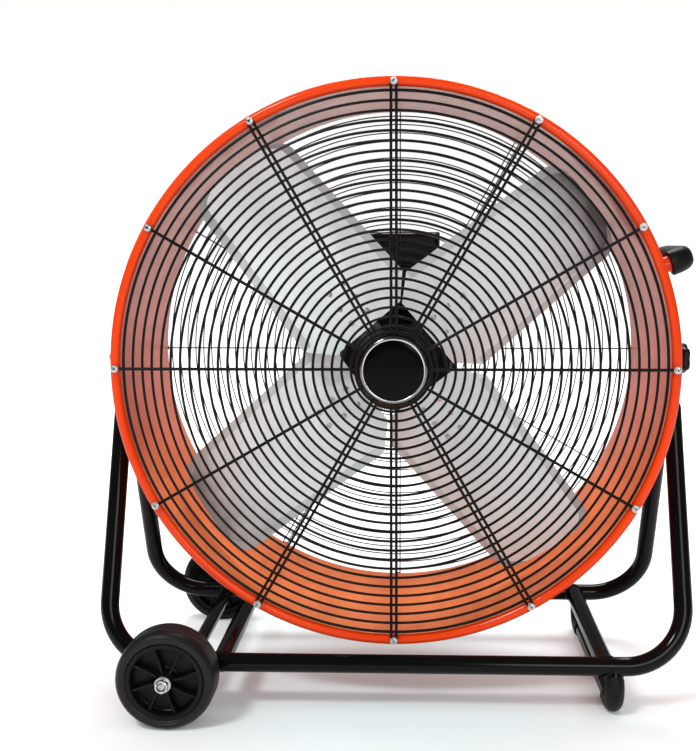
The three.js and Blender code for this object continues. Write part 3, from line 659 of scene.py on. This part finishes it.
def stud_and_nut(word, side):
    """The threaded stud of a wheel, its spacer and its flanged nut."""
    shank = [(0, 126), (4.2, 126), (5, 127), (5, THREAD_START)]
    for k in range(THREAD_TURNS):
        y = THREAD_START + THREAD_PITCH * k
        shank += [(4.25, y + 0.35), (5.0, y + 0.75), (5.0, y + 0.95)]
    shank += [(4.1, 210.6), (3.2, 211), (0, 211)]
    add(f"{word}_wheel_stud_thread", lathe(shank, 32, WHEEL_AXIS, side=side), STEEL, "stand",
        f"{word}_wheel_stud", sharp=50)
    spacer = [(5.4, 145.4), (8.4, 145.4), (9, 146), (9, 155), (8.4, 155.6), (5.4, 155.6)]
    add(f"{word}_wheel_spacer_sleeve", lathe(spacer, 40, WHEEL_AXIS, side=side), ZINC, "stand",
        f"{word}_wheel_spacer")
    flange = [(5.1, 203.3), (9.2, 203.3), (9.5, 203.8), (9.2, 204.6), (8.4, 205), (5.1, 205)]
    nut = Pile(lathe(flange, 48, WHEEL_AXIS, side=side))
    ring = [(5.1, 204.9), (7.9, 204.9), (8, 205.4), (8, 210.6), (7.4, 211.6), (6.4, 212.2),
            (5.6, 212.2), (5.1, 211.6)]
    verts, faces = lathe(ring, 48, WHEEL_AXIS, side=side)
    shaped = []
    for x, y, z in verts:
        dx, dz = x - WHEEL_X, z - WHEEL_R
        r = hypot(dx, dz)
        flat = NUT_ACROSS / 2 / cos(hex_angle(atan2(dz, dx))) if r > 6 else r
        share = min(r, flat) / r
        shaped.append((WHEEL_X + dx * share, y, WHEEL_R + dz * share))
    nut.put((shaped, faces))
    nut.add(f"{word}_wheel_flange_nut", ZINC, "stand", f"{word}_wheel_nut", sharp=30)


for word, side in ENDS:
    wheel(word, side)
    stud_and_nut(word, side)


# ---- drum

DRUM_HALF = 118.0  # from the middle of the drum to the middle of a bead
BEAD_R = 6.0
BEAD_PITCH_R = 322.5
WALL_OUTER_R = 318.5
INNER_LIMIT_R = 317.0  # faces inside this radius are the drum's inner wall


def drum():
    """The rolled barrel with a bead at each rim, and its inner wall in a paint with painted light
    and shade.
    """
    rise = BEAD_PITCH_R - WALL_OUTER_R
    meet = degrees(asin(sqrt(BEAD_R ** 2 - rise ** 2) / BEAD_R))
    front = ring_arc(BEAD_PITCH_R, -DRUM_HALF, BEAD_R, 180 - meet, -180, 14)
    rear = ring_arc(BEAD_PITCH_R, DRUM_HALF, BEAD_R, 180, -180 + meet, 14)
    verts, faces = lathe(front + rear, 240)
    marks = []
    for f in faces:
        pts = [verts[i] for i in f]
        r = sum(hypot(p[0], p[2] - AXIS) for p in pts) / len(pts)
        y = sum(abs(p[1]) for p in pts) / len(pts)
        marks.append(1 if r < INNER_LIMIT_R and y < DRUM_HALF + 0.01 else 0)
    add("drum_barrel", (verts, faces), [ORANGE, INSIDE_PAINTED_LIGHT], "drum", "drum_shell",
        marks=marks, sharp=60)


GRILLE_RINGS = 25
OUTER_RING_R = 312.0
RING_PITCH = 10.95
RING_Y = 122.9  # wire rings, from the middle of the drum
RING_WIRE_R = 1.58
OUTER_WIRE_R = 1.75
SPOKE_Y = 125.8  # radial wires, just outside the rings
SPOKE_START = 42.0
SPOKE_END = 318.0
SPOKE_SPREAD = 3.0  # half distance of the paired wires
SPOKE_WIRE_R = 1.8
PAIR_WIRE_R = 1.65
PAIRED = (2, 3, 4, 8, 9, 10)  # the twelfths with a pair of wires
EYE_R = 321.5  # where the wire eyes and their screws sit
EYE_SIZE = 3.1
REAR_SHARE = 0.5  # the rear wires against the front ones


def grille_rings(word, side, coat, share):
    """The round wires of a grille."""
    rings = Pile()
    for k in range(GRILLE_RINGS):
        r = OUTER_RING_R - RING_PITCH * k
        wire = share * (OUTER_WIRE_R if k == 0 else RING_WIRE_R)
        segments = 160 if r > 200 else (112 if r > 100 else 72)
        circle = [(r + wire * cos(t), side * (RING_Y + wire * sin(t))) for t in turns(8)]
        rings.put(lathe(circle, segments))
    rings.add(f"{word}_grille_ring_wires", coat, "drum", f"{word}_grille_rings")


def paired_spoke(at, out, across, share):
    """A wire that runs out, turns round its screw and runs back."""
    path = [(at(SPOKE_START, -SPOKE_SPREAD), out)]
    for j in range(13):
        t = pi * j / 12
        path.append((at(EYE_R + SPOKE_SPREAD * sin(t), -SPOKE_SPREAD * cos(t)),
                     out * cos(t) + across * sin(t)))
    path.append((at(SPOKE_START, SPOKE_SPREAD), -out))
    return sweep(path, Y, PAIR_WIRE_R * share, 10)


def grille_spokes(word, side, coat, share):
    """Twelve radial wires, in pairs or with an eye at the end, and the plate amid them."""
    spokes = Pile()
    for place, a in enumerate(turns(12)):
        out = around(a, 1, 0) - Vector((0, 0, AXIS))
        across = out.cross(Y)
        centre = Vector((0, side * SPOKE_Y, AXIS))

        def at(r, w):
            return centre + out * r + across * w
        if place in PAIRED:
            spokes.put(paired_spoke(at, out, across, share))
            continue
        run = [(at(SPOKE_START, 0), out), (at(SPOKE_END, 0), out)]
        spokes.put(sweep(run, Y, SPOKE_WIRE_R * share, 10))
        eye = [at(EYE_R + EYE_SIZE * cos(t), EYE_SIZE * sin(t)) for t in turns(24)]
        spokes.put(closed_wire(eye, 1.4, 10))
    plate = [(0, 125), (44.8, 125), (45.5, 125.6), (45.5, 127.8), (44.8, 128.4), (0, 128.4)]
    spokes.put(lathe(plate, 72, side=side))
    spokes.add(f"{word}_grille_spoke_wires", coat, "drum", f"{word}_grille_spokes")


SCREW_Y = 127.2  # the outer face of the wire under the screw


def grille_screws(word, side):
    """Twelve screws with washers, each turned a little further than the last, with a dark disc as
    painted shade in each recess.
    """
    washer = [(1, 0), (4.3, 0), (4.4, 0.3), (4.3, 0.7), (1, 0.8)]
    recess_shade_disc = [(0, 0.3), (2.1, 0.3), (2.1, 0.75), (0, 0.8)]
    shank = [(0, -4.5), (1.9, -4.5), (1.9, 0.5), (0, 0.5)]
    lift = Matrix.Translation((0, 0, 0.7))
    for place, a in enumerate(turns(12)):
        move = facing(Y * side, around(a, EYE_R, side * SCREW_Y), 0.4 + place * 1.7)
        head = Pile(lathe(washer, 32, (0, 0, 0), "Z"), move)
        head.put(star_head(3.7, 1.9, deep=1.3, inner=0.9, outer=2.6), move @ lift)
        # A dark disc at the floor of the recess: painted shade.
        head.put(lathe(recess_shade_disc, 24, (0, 0, 0), "Z"), move @ lift, mark=1)
        head.put(lathe(shank, 16, (0, 0, 0), "Z"), move)
        head.add(f"{word}_grille_screw_{place + 1}", [ZINC, WELD_AND_RECESS_SHADE], "drum", sharp=30)


def badge():
    """A bare domed disc in a dark bezel with a bright inner lip."""
    ring = [(36.2, -128.9), (41.5, -128.9), (42, -129.4), (41.9, -130.4), (41.2, -131.4),
            (38.4, -135.4), (37.2, -136.4), (36.2, -136.7)]
    lip = [(34.6, -128.9), (36.25, -128.9), (36.25, -136.9), (35.9, -137.5), (35.2, -137.6),
           (34.7, -137.2)]
    bezel = Pile(lathe(ring, 120))
    bezel.put(lathe(lip, 120), mark=1)
    bezel.add("badge_bezel", [BEZEL, TICK], "drum", "badge_ring", sharp=50)
    disc = [(0, -128.9), (34.2, -128.9), (34.4, -129.5), (34.3, -135.4), (34, -136.1),
            (33, -136.4), (24, -136.6), (12, -136.8), (0, -136.9)]
    add("badge_face", lathe(disc, 120), GLOSS, "drum", "badge_disc")


HANDLE_TILT = radians(20)  # above the horizontal
RADIAL = Vector((cos(HANDLE_TILT), 0, sin(HANDLE_TILT)))
LIFT = Vector((-sin(HANDLE_TILT), 0, cos(HANDLE_TILT)))
HANDLE_FOOT_R = 317.0
HANDLE_R = 364.0  # centre line of the cross piece, from the drum axis
HANDLE_HALF = 50.0
HANDLE_BEND_R = 16.0
HANDLE_TUBE_R = 9.5
GRIP_START_R = 347.0
GRIP_R = 14.8


def handle_corners(start):
    """The handle's centre line from a distance off the axis, front leg first."""
    places = ((start, -1), (HANDLE_R, -1), (HANDLE_R, 1), (start, 1))
    return [on_handle(r, HANDLE_HALF * side) for r, side in places]


def on_handle(r, y):
    return Vector((0, 0, AXIS)) + RADIAL * r + Y * y


def handle():
    """The bent carry tube, the welds at its feet and its grip."""
    bow = tube(handle_corners(HANDLE_FOOT_R), LIFT, HANDLE_BEND_R, HANDLE_TUBE_R, 28, 12)
    add("handle_bow", bow, ORANGE, "drum", "handle_tube")
    for word, y in (("front", -HANDLE_HALF), ("rear", HANDLE_HALF)):
        # The foot's outline follows the round wall, so the bead rises and falls twice.
        foot = [on_handle(318.9 + 0.35 * cos(2 * a), y) + LIFT * 10.2 * sin(a)
                + Y * 10.2 * cos(a) for a in turns(36)]
        bead = closed_wire(foot, uneven(1.5, (0.2, 2.3)))
        add(f"handle_{word}_weld", bead, ORANGE, "drum")
    path = rounded_path(handle_corners(GRIP_START_R), HANDLE_BEND_R, 14)
    collar = [(347, 13), (347.3, 14.2), (347.7, GRIP_R)]
    near = [(on_handle(r, -HANDLE_HALF), RADIAL, wide) for r, wide in collar]
    far = [(on_handle(r, HANDLE_HALF), -RADIAL, wide) for r, wide in reversed(collar)]
    stations = near + [(p, t, GRIP_R) for p, t in path[1:-1]] + far
    rings = [section(p, LIFT.cross(t), LIFT, size, size, 36, 0.8) for p, t, size in stations]
    add("handle_rubber_grip", skin(rings), RUBBER, "drum", "handle_grip", sharp=50)


def pivots():
    """The boss, stud and washers on each side, and the cap nut on the left one."""
    boss = [(5.3, 317), (23.4, 317), (24, 318.4), (24, 320.4), (23.2, 321.4), (18.6, 323.2),
            (17.2, 324.6), (17, 326), (17, 332.3), (16.2, 333.1), (5.3, 333.1)]
    stud = [(0, 320.5), (5, 320.5), (5, 352.4), (4.2, 353.6), (0, 354)]
    inner = [(5.5, 333.5), (13.6, 333.5), (14, 334), (14, 335.3), (13.6, 335.8), (5.5, 335.8)]
    outer = [(5.5, 346), (11.6, 346), (12, 346.5), (12, 347.5), (11.6, 348), (5.5, 348)]
    pieces = (
        ("pivot_boss", "turned", boss, ORANGE, "drum", 64),
        ("pivot_stud", "turned", stud, STEEL, "drum", 32),
        ("inner_washer", "pad", inner, PLASTIC, "stand", 48),
        ("outer_washer", "disc", outer, ZINC, "stand", 48),
    )
    for word, side in (("left", -1), ("right", 1)):
        for kind, ending, profile, material, body, segments in pieces:
            add(f"{word}_{kind}_{ending}", lathe(profile, segments, axis="X", side=side),
                material, body, f"{word}_{kind}")
    nut = Pile(hexagon(15.8, 8.6), facing(-X, (-348.3, 0, AXIS), 0.3))
    dome = [(0, -356.5), (7.4, -356.5), (7.5, -357.5), (7, -359.6), (5.6, -361.8), (3.4, -363.4),
            (0, -364)]
    nut.put(lathe(dome, 40, axis="X"))
    nut.add("left_acorn_nut", ZINC, "drum", "left_cap_nut", sharp=28)


KNOB_R = 17.4  # mean radius of the lock knob
LOBE_HEIGHT = 2.2
LOBES = 5


def lock_knob():
    """A knob with five soft lobes and a steel insert in its face."""
    def lobe(angle, scale):
        return scale * (KNOB_R + LOBE_HEIGHT * cos(LOBES * angle))
    # The place of each level along X and its size against the full outline.
    levels = [(353.2, 0.84), (354, 0.93), (355.2, 0.985), (356.6, 1), (359.7, 1), (361.5, 0.97),
              (362.9, 0.9), (363.7, 0.78), (363.7, 0.5), (363.2, 0.46), (363.2, 0.3)]
    rings = []
    for x, scale in levels:
        outline = [polar(lobe(a, scale), a) for a in turns(100)]
        rings.append([(x, y, AXIS + up) for y, up in outline])
    knob = Pile(skin(rings))
    neck = [(0, 348.4), (9.6, 348.4), (10, 349), (10, 352.6), (11.5, 354), (0, 354)]
    knob.put(lathe(neck, 48, axis="X"))
    knob.add("tilt_lock_knob_moulding", PLASTIC, "tilt_knob", "tilt_lock_knob", sharp=32)
    cap = [(0, 362.8), (5, 362.8), (5.2, 363.4), (4.6, 363.9), (0, 364)]
    add("tilt_lock_knob_insert", lathe(cap, 32, axis="X"), STEEL, "tilt_knob")


drum()
for word, side, coat, share in (("front", -1, WIRE, 1.0), ("rear", 1, LIT_REAR_WIRE, REAR_SHARE)):
    grille_rings(word, side, coat, share)
    grille_spokes(word, side, coat, share)
    grille_screws(word, side)
badge()
handle()
pivots()
lock_knob()


# ---- rotor

ROTOR_Y = -34.0  # a blade's middle line, along Y
TIP_R = 304.0
TIP_CORNER_R = 20.0
TIP_CORNER_X = 58.0  # where a corner's rounding is centred
ROOT, SHOULDER = 52.0, 80.0
OUTLINE = [(ROOT, 50), (SHOULDER, 76), (TIP_R, 66)]  # distance from the axis, half width
FIRST_BLADE = 50.5  # degrees clockwise from straight up
BLADE_SLOPE = 0.36  # depth gained over the width
CREASE_SLOPE = 0.17  # and besides beyond the crease
BLADE_THICK = 1.6
HEM_WIDTH = 10.5
HEM_RISE = 0.9
HUB_FRONT = -31.0  # front face of the turned hub, along Y
ARM_START, ARM_ROUND = 30.0, 120.0
ARM_END_R = 8.0
RIVETS = ((70, -12), (70, 12), (92, -12), (92, 12), (114, -10), (114, 10))


def blade_half(s):
    """Half the width at a distance from the axis, without the rounded corners."""
    for (s0, h0), (s1, h1) in zip(OUTLINE, OUTLINE[1:]):
        if s <= s1:
            break
    return h0 + (h1 - h0) * (s - s0) / (s1 - s0)


def rounded_half(s):
    """Half the width with the corners of the tip rounded off."""
    h = blade_half(s)
    edge = sqrt(TIP_R ** 2 - TIP_CORNER_X ** 2)
    past = s - edge + TIP_CORNER_R
    if past > 0:
        h -= TIP_CORNER_R - sqrt(max(0, TIP_CORNER_R ** 2 - past ** 2))
    return h


def arm_half(s):
    """Half the width of a spider's arm, which narrows to a round end."""
    end = ARM_END_R - sqrt(max(0, ARM_END_R ** 2 - max(0, s - ARM_ROUND) ** 2))
    return 24 - 4 * (s - ARM_START) / 98 - end


def blade_depth(s, offset):
    """Two flat panels that meet in a slanting crease."""
    crease = 18.6 + 0.181 * (s - 66)
    return ROTOR_Y + BLADE_SLOPE * offset + CREASE_SLOPE * max(0.0, offset - crease)


def blade_point(s, offset, lift, turn):
    """A point on a blade, at a distance from the axis and from its middle line."""
    height = min(s, sqrt(TIP_R * TIP_R - offset * offset))
    x = height * sin(turn) + offset * cos(turn)
    z = height * cos(turn) - offset * sin(turn)
    return Vector((x, blade_depth(height, offset) + lift, AXIS + z))


def sheet(rows, half, lift, thick, columns, turn, hem=0.0):
    """A closed sheet on the blade surface with a hem along both edges."""
    top, low = [], []
    for s in rows:
        h = half(s)
        inner = max(h - HEM_WIDTH, 1.0)
        offsets = [-h, -inner - 0.8] + [inner * (2 * j / columns - 1) for j in range(columns + 1)]
        offsets += [inner + 0.8, h]
        for j, offset in enumerate(offsets):
            hemmed = s > SHOULDER and j in (0, 1, columns + 3, columns + 4)
            low.append(blade_point(s, offset, lift - (hem if hemmed else 0.0), turn))
            top.append(blade_point(s, offset, lift + thick, turn))
    n = columns + 5
    base = len(low)
    faces, marks = [], []
    last = len(rows) - 1
    for i in range(last):
        for j in range(n - 1):
            a = i * n + j
            faces.append((a, a + 1, a + 1 + n, a + n))
            faces.append((base + a + n, base + a + 1 + n, base + a + 1, base + a))
            # Hem faces take the darker material, painted shade on the bent edges.
            hemmed = hem and rows[i] >= SHOULDER and j in (0, 1, n - 3, n - 2)
            marks += [1 if hemmed else 0, 0]
    rim = list(range(n)) + [i * n + n - 1 for i in range(1, last + 1)]
    rim += [last * n + j for j in range(n - 2, -1, -1)] + [i * n for i in range(last - 1, 0, -1)]
    for k, a in enumerate(rim):
        b = rim[(k + 1) % len(rim)]
        faces.append((b, a, base + a, base + b))
        marks.append(0)
    return low + top, faces, marks


def blade_rivets(turn):
    """Six domed heads, each square to the blade under it."""
    dome = [(0, -0.6), (3.6, -0.6), (3.6, 0.3), (2.9, 1.3), (1.6, 2), (0, 2.2)]
    heads = Pile()
    for r, offset in RIVETS:
        at, beside, beyond = (blade_point(r + dr, offset + dx, -0.1, turn)
                              for dr, dx in ((0, 0), (0, 1), (1, 0)))
        out = (beside - at).cross(beyond - at)
        if out.y > 0:
            out.negate()
        heads.put(lathe(dome, 20, (0, 0, 0), "Z"), facing(out, at))
    return heads


def rotor():
    """Four creased blades riveted to a spider with a turned hub, its shaft and its nut."""
    rows = [ROOT + 2.0 * i for i in range(14)] + [SHOULDER + 5.0 * i for i in range(40)]
    rows += [279 + 1.5 * i for i in range(13)] + [TIP_R]
    arm_rows = [ARM_START + 3.5 * i for i in range(29)]
    arms = Pile()
    for k in range(4):
        turn = radians(FIRST_BLADE + 90 * k)
        verts, faces, marks = sheet(rows, rounded_half, 0, BLADE_THICK, 26, turn, HEM_RISE)
        add(f"blade_{k + 1}_sheet", (verts, faces), [BLADES[k], HEM_SHADE], "fan",
            f"blade_{k + 1}", marks=marks, sharp=25)
        arms.put(sheet(arm_rows, arm_half, 2.0, 3.6, 8, turn)[:2])
        blade_rivets(turn).add(f"blade_{k + 1}_rivets", ZINC, "fan")
    hub = [(8.3, 0.2), (29, 0.2), (31, 1), (45.8, 4.8), (47, 5.8), (47, 8.4), (45.6, 9.4),
           (26, 13.2), (23.6, 14.6), (20.6, 18), (20, 20), (20, 33.2), (19.2, 34), (8.3, 34)]
    arms.put(lathe([(r, HUB_FRONT + y) for r, y in hub], 72))
    arms.add("rotor_spider_plate", BLACK, "fan", "rotor_spider")
    shaft = [(0, HUB_FRONT - 16), (7, HUB_FRONT - 16), (7.9, HUB_FRONT - 15), (7.9, 60), (0, 60)]
    add("motor_shaft_rod", lathe(shaft, 40), STEEL, "fan", "motor_shaft")
    nut = Pile(hexagon(25.6, 8.8), facing(-Y, (0, HUB_FRONT - 0.5, AXIS)))
    nut.add("rotor_hub_hex_nut", ZINC, "fan", "rotor_hub_nut", sharp=28)


# ---- motor and control box

RIB_PITCH = 9.0  # between the grooves of the motor's can
PLATE_BOLT = 67.0  # from the axis to the plate's bolts, sideways and up
LEAD_X = 18.0
LEAD_R = 2.4


def motor_can():
    """The grooved can with eight raised slot rims in its front face."""
    shell = [(0, 116.9), (68, 116.9), (70.5, 116.2), (73.4, 113.4), (74.2, 111), (74.2, 104)]
    for k in range(5):
        y = 102 - RIB_PITCH * k
        shell += [(74.9, y), (74.9, y - 5.4), (73.4, y - 6.2), (73.4, y - 8.2)]
    shell += [(74.9, 54), (74.9, 51), (73.6, 49.6), (72.4, 47), (69.6, 43.4), (66, 42.4),
              (46, 42.4), (43, 42.6), (41, 42.2), (17, 42.2), (15.4, 43), (8.5, 43), (8.5, 64),
              (0, 64)]
    can = Pile(lathe(shell, 96))
    slot_wall = [(3, 0), (4.6, 0), (4.8, 0.9), (3.2, 1)]
    for a in turns(8, 0.5):
        can.put(lathe(slot_wall, 20, (0, 0, 0), "Z"), facing(-Y, around(a, 56, 43.6)))
    can.add("motor_can", BLACK, "drum", "motor_body", sharp=30)


def four_bolts(name, form, radius, y, spin):
    """Bolts round the axis, each turned a little further than the last."""
    for k, a in enumerate(turns(4, 0.5)):
        bolt = Pile(form, facing(-Y, around(a, radius, y), spin + k))
        bolt.add(f"{name}_{k + 1}", ZINC, "drum", sharp=28)


def motor():
    """The can, the square plate behind it, their bolts, and the lead."""
    motor_can()
    four_bolts("motor_through_bolt", hexagon(7, 2.2, 0.3), 64, 44.4, 0)
    plate = mount_plate_outline()
    rings = []
    for y, inset in ((117.5, 0.5), (118, 0), (120.1, 0), (120.6, 0.5)):
        rings.append([(x - copysign(inset, x), y, AXIS + z - copysign(inset, z))
                      for x, z in plate])
    add("motor_mount_plate_pressing", skin(rings), BLACK, "drum", "motor_mount_plate")
    four_bolts("motor_mount_bolt", hexagon(9, 3.2, 0.4), PLATE_BOLT * sqrt(2), 117.7, 0.2)
    route = ((96, 60), (96, 84.7), (128.4, 84.7))
    corners = [(LEAD_X, y, AXIS + up) for y, up in route]
    lead = Pile(tube(corners, X, 8, LEAD_R, 20, 10))
    relief = [(0, 0), (4.6, 0), (4.6, 2.5), (4, 3.2), (3.9, 5.2), (3.4, 6.4), (0, 6.4)]
    lead.put(lathe(relief, 28, (LEAD_X, 96, AXIS + 72.0), "Z"))
    lead.add("motor_lead_sleeve", RUBBER, "drum", "motor_lead")


def mount_plate_outline():
    """A square plate with rounded corners, as (x, z) pairs round the axis."""
    out = []
    for start, cx, cz in ((0, 63, 63), (90, -63, 63), (180, -63, -63), (270, 63, -63)):
        out += ring_arc(cx, cz, 16, start, start + 90, 8)
    return out


BOX_HALF = 56.0  # half the width of the control box
BOX_MID = AXIS + 115.25
DIAL_Z = BOX_MID + 8
KNOB_BACK = 173.3  # the switch knob's face against the cover, along Y
GLAND_X, GLAND_Y = -30, 148
GLAND_TOP = AXIS + 73 - 0.3


def control_box():
    """The box with three ribs on each side, its cover, dial and cover screws."""
    box = Pile(block((-55.8, 128.9, BOX_MID - 42.1), (55.8, 167.9, BOX_MID + 42.1), 7, 5))
    for up in (-30, -18, -6):
        low, high = BOX_MID + up, BOX_MID + up + 4
        for x in (-BOX_HALF, BOX_HALF - 0.8):
            box.put(block((x, 138, low), (x + 0.8, 160, high), 0.35, 2))
    box.add("control_box_shell", PLASTIC, "drum", "control_box")
    cover = Pile(block((-57.4, 168.4, BOX_MID - 43.6), (57.4, 172.9, BOX_MID + 43.6), 1.8, 3))
    dial = [(0, 172.5), (30, 172.5), (30.6, 172.8), (30.4, 173.1), (0, 173.1)]
    cover.put(lathe(dial, 72, (0, 0, DIAL_Z)))
    cover.add("control_cover_plate", PLASTIC, "drum", "control_cover")
    for k, (x, up) in enumerate(((-50, -37), (50, -37), (-50, 37), (50, 37))):
        head = Pile(star_head(3.6, 1.4, deep=0.8, outer=2.2, inner=0.7),
                    facing(Y, (x, 172.6, BOX_MID + up), k))
        head.add(f"control_cover_screw_{k + 1}", ZINC, "drum", sharp=30)


def switch():
    """Three ticks on the dial, and a knob with a bar grip and a pointer line."""
    marks = Pile()
    for angle in (90, 30, -30):
        turn = Matrix.Rotation(-radians(angle), 4, "Y")
        marks.put(block((22.5, 172.9, -0.8), (27.5, 173.5, 0.8), 0.2, 2),
                  Matrix.Translation((0, 0, DIAL_Z)) @ turn)
    marks.add("switch_dial_ticks", TICK, "drum")
    back = KNOB_BACK
    skirt = [(0, back), (18.6, back), (19, back + 0.5), (18.4, back + 4.2), (17.4, back + 5),
             (0, back + 5)]
    knob = Pile(lathe(skirt, 72, (0, 0, DIAL_Z)))
    knob.put(block((-4.4, back + 3, DIAL_Z - 16.4), (4.4, back + 18.4, DIAL_Z + 16.4), 2.2, 4))
    knob.add("switch_knob_moulding", PLASTIC, "switch_knob", "switch_knob", sharp=32)
    line = block((-0.8, back + 18.2, DIAL_Z + 4), (0.8, back + 18.5, DIAL_Z + 14), 0.12, 2)
    add("switch_knob_pointer", line, TICK, "switch_knob")


def cord_gland():
    """A hexagonal nut and a domed cap with the hole for a cord."""
    top = (GLAND_X, GLAND_Y, GLAND_TOP)
    gland = Pile(hexagon(19, 4), facing((0, 0, -1), top))
    dome = [(4.2, -3.6), (7.8, -3.6), (8, -5), (7.8, -9), (7, -12), (5.6, -13), (4.4, -13),
            (4.2, -12.4)]
    gland.put(lathe(dome, 48, top, "Z"))
    gland.add("cord_gland_nut", PLASTIC, "drum", "cord_gland", sharp=28)


rotor()
motor()
control_box()
switch()
cord_gland()


# ---- stage

AMBIENT = 0.80  # the white surroundings as they light the object
MIRRORED = 0.15  # and as gloss mirrors them


def world():
    """White to the camera, dimmer to the object and dimmer still in reflections."""
    w = bpy.data.worlds.new("studio")
    bpy.context.scene.world = w
    w.use_nodes = True
    rays = node(w.node_tree, "LightPath").outputs
    seen = node(w.node_tree, "Math", rays["Is Camera Ray"], 1.0 - AMBIENT, AMBIENT,
                operation="MULTIPLY_ADD")
    level = node(w.node_tree, "Math", rays["Is Glossy Ray"], MIRRORED - AMBIENT,
                 seen.outputs[0], operation="MULTIPLY_ADD")
    tune(w.node_tree.nodes["Background"], Color=(1, 1, 1, 1), Strength=level.outputs[0])


FLOOR_HALF = 30.0  # half the side of the floor, in metres
FLOOR_TONE = (0.87, 0.87, 0.87)
BOUNCE_TINT = (0.74, 0.9, 0.91)  # a cool tint painted under the drum to cancel its warm bounced light
BOUNCE_TINT_FADE = (0.1, 0.38)  # metres over which that tone fades
NEAR_GLOW = (0.05, 0.05, 0.05)
FAR_GLOW = (0.5, 0.5, 0.5)  # the floor fades to white away from the object
FAR_FADE = (0.6, 1.6)
REAR_GLOW = 0.22  # lifts the shade behind the front bar
REAR_FADE = (-0.08, 0.12)  # along Y


def floor():
    """A pale floor that keeps the shadow, with painted light lifting it behind the front bar and a
    cool tint painted under the drum against its warm bounced light; it fades to the white
    background.
    """
    size = FLOOR_HALF
    mesh = bpy.data.meshes.new("floor")
    mesh.from_pydata([(-size, -size, 0), (size, -size, 0), (size, size, 0), (-size, size, 0)], [],
                     [(0, 1, 2, 3)])
    m, tree, shader = new_material("floor_white", FLOOR_TONE, Roughness=0.9)
    away = node(tree, "VectorMath", position(tree), operation="LENGTH").outputs["Value"]
    near = span(away, 0, 1, *BOUNCE_TINT_FADE)
    tune(shader, Base_Color=ramp(near, (0.0, BOUNCE_TINT), (1.0, FLOOR_TONE)))
    lift = ramp(span(away, 0, 1, *FAR_FADE), (0.0, NEAR_GLOW), (1.0, FAR_GLOW))
    depth = node(tree, "SeparateXYZ", position(tree)).outputs["Y"]
    behind = span(depth, 0, REAR_GLOW, *REAR_FADE)
    colour = node(tree, "VectorMath", lift, behind, operation="ADD").outputs[0]
    seen = node(tree, "LightPath").outputs["Is Camera Ray"]
    glow = node(tree, "Emission", colour, seen)
    both = node(tree, "AddShader", shader.outputs[0], glow.outputs[0])
    tune(tree.nodes["Material Output"], Surface=both.outputs[0])
    mesh.materials.append(m)
    into_scene("floor", mesh)


def lamp(name, at, aim, size, power):
    """A rectangular soft light at a place in metres, turned towards its aim."""
    data = bpy.data.lights.new(name, "AREA")
    data.shape = "RECTANGLE"
    data.size, data.size_y = size
    data.energy = power
    o = into_scene(name, data)
    o.location = at
    o.rotation_mode = "QUATERNION"
    o.rotation_quaternion = (Vector(aim) - Vector(at)).to_track_quat("-Z", "Y")


FRAME_WIDTH, FRAME_HEIGHT = 696, 751  # pixels of the photograph
FOCAL_LENGTH = 1068.54  # in the same pixels
CENTRE_X, CENTRE_Y = 383.17, 374.84  # where the lens's axis meets the picture
SENSOR = 36.0  # millimetres along the picture's longer side
CAMERA_AT = (0.02835, -1.33739, 0.546)  # metres
YAW, PITCH, ROLL = (radians(a) for a in (-1.91, 7.01, -0.08))


def camera():
    """The photograph's viewpoint, looking at the front a little from above."""
    data = bpy.data.cameras.new("photo_camera")
    data.lens = FOCAL_LENGTH * SENSOR / FRAME_HEIGHT
    data.sensor_width = SENSOR
    data.shift_x = (FRAME_WIDTH / 2 - CENTRE_X) / FRAME_HEIGHT
    data.shift_y = (CENTRE_Y - FRAME_HEIGHT / 2) / FRAME_HEIGHT
    data.clip_start, data.clip_end = 0.05, 100
    o = into_scene("photo_camera", data)
    ahead = Vector((sin(YAW) * cos(PITCH), cos(YAW) * cos(PITCH), -sin(PITCH)))
    level = Vector((cos(YAW), -sin(YAW), 0))
    upright = level.cross(ahead)
    right = level * cos(ROLL) + upright * sin(ROLL)
    up = upright * cos(ROLL) - level * sin(ROLL)
    turn = Matrix((right, up, -ahead)).transposed()
    o.rotation_mode = "QUATERNION"
    o.rotation_quaternion = turn.to_quaternion()
    o.location = CAMERA_AT
    bpy.context.scene.camera = o


world()
floor()
lamp("key", (-1.4, -1.8, 2.8), (0, 0, 0.4), (0.7, 0.5), 50)
lamp("fill", (0.9, -2.6, 1.3), (0, 0, 0.4), (1.2, 1.2), 22)
lamp("back", (0.3, 1.8, 2.6), (0, 0, 0.3), (1.8, 1.2), 60)
camera()

view = bpy.context.scene.view_settings
view.view_transform = "Standard"
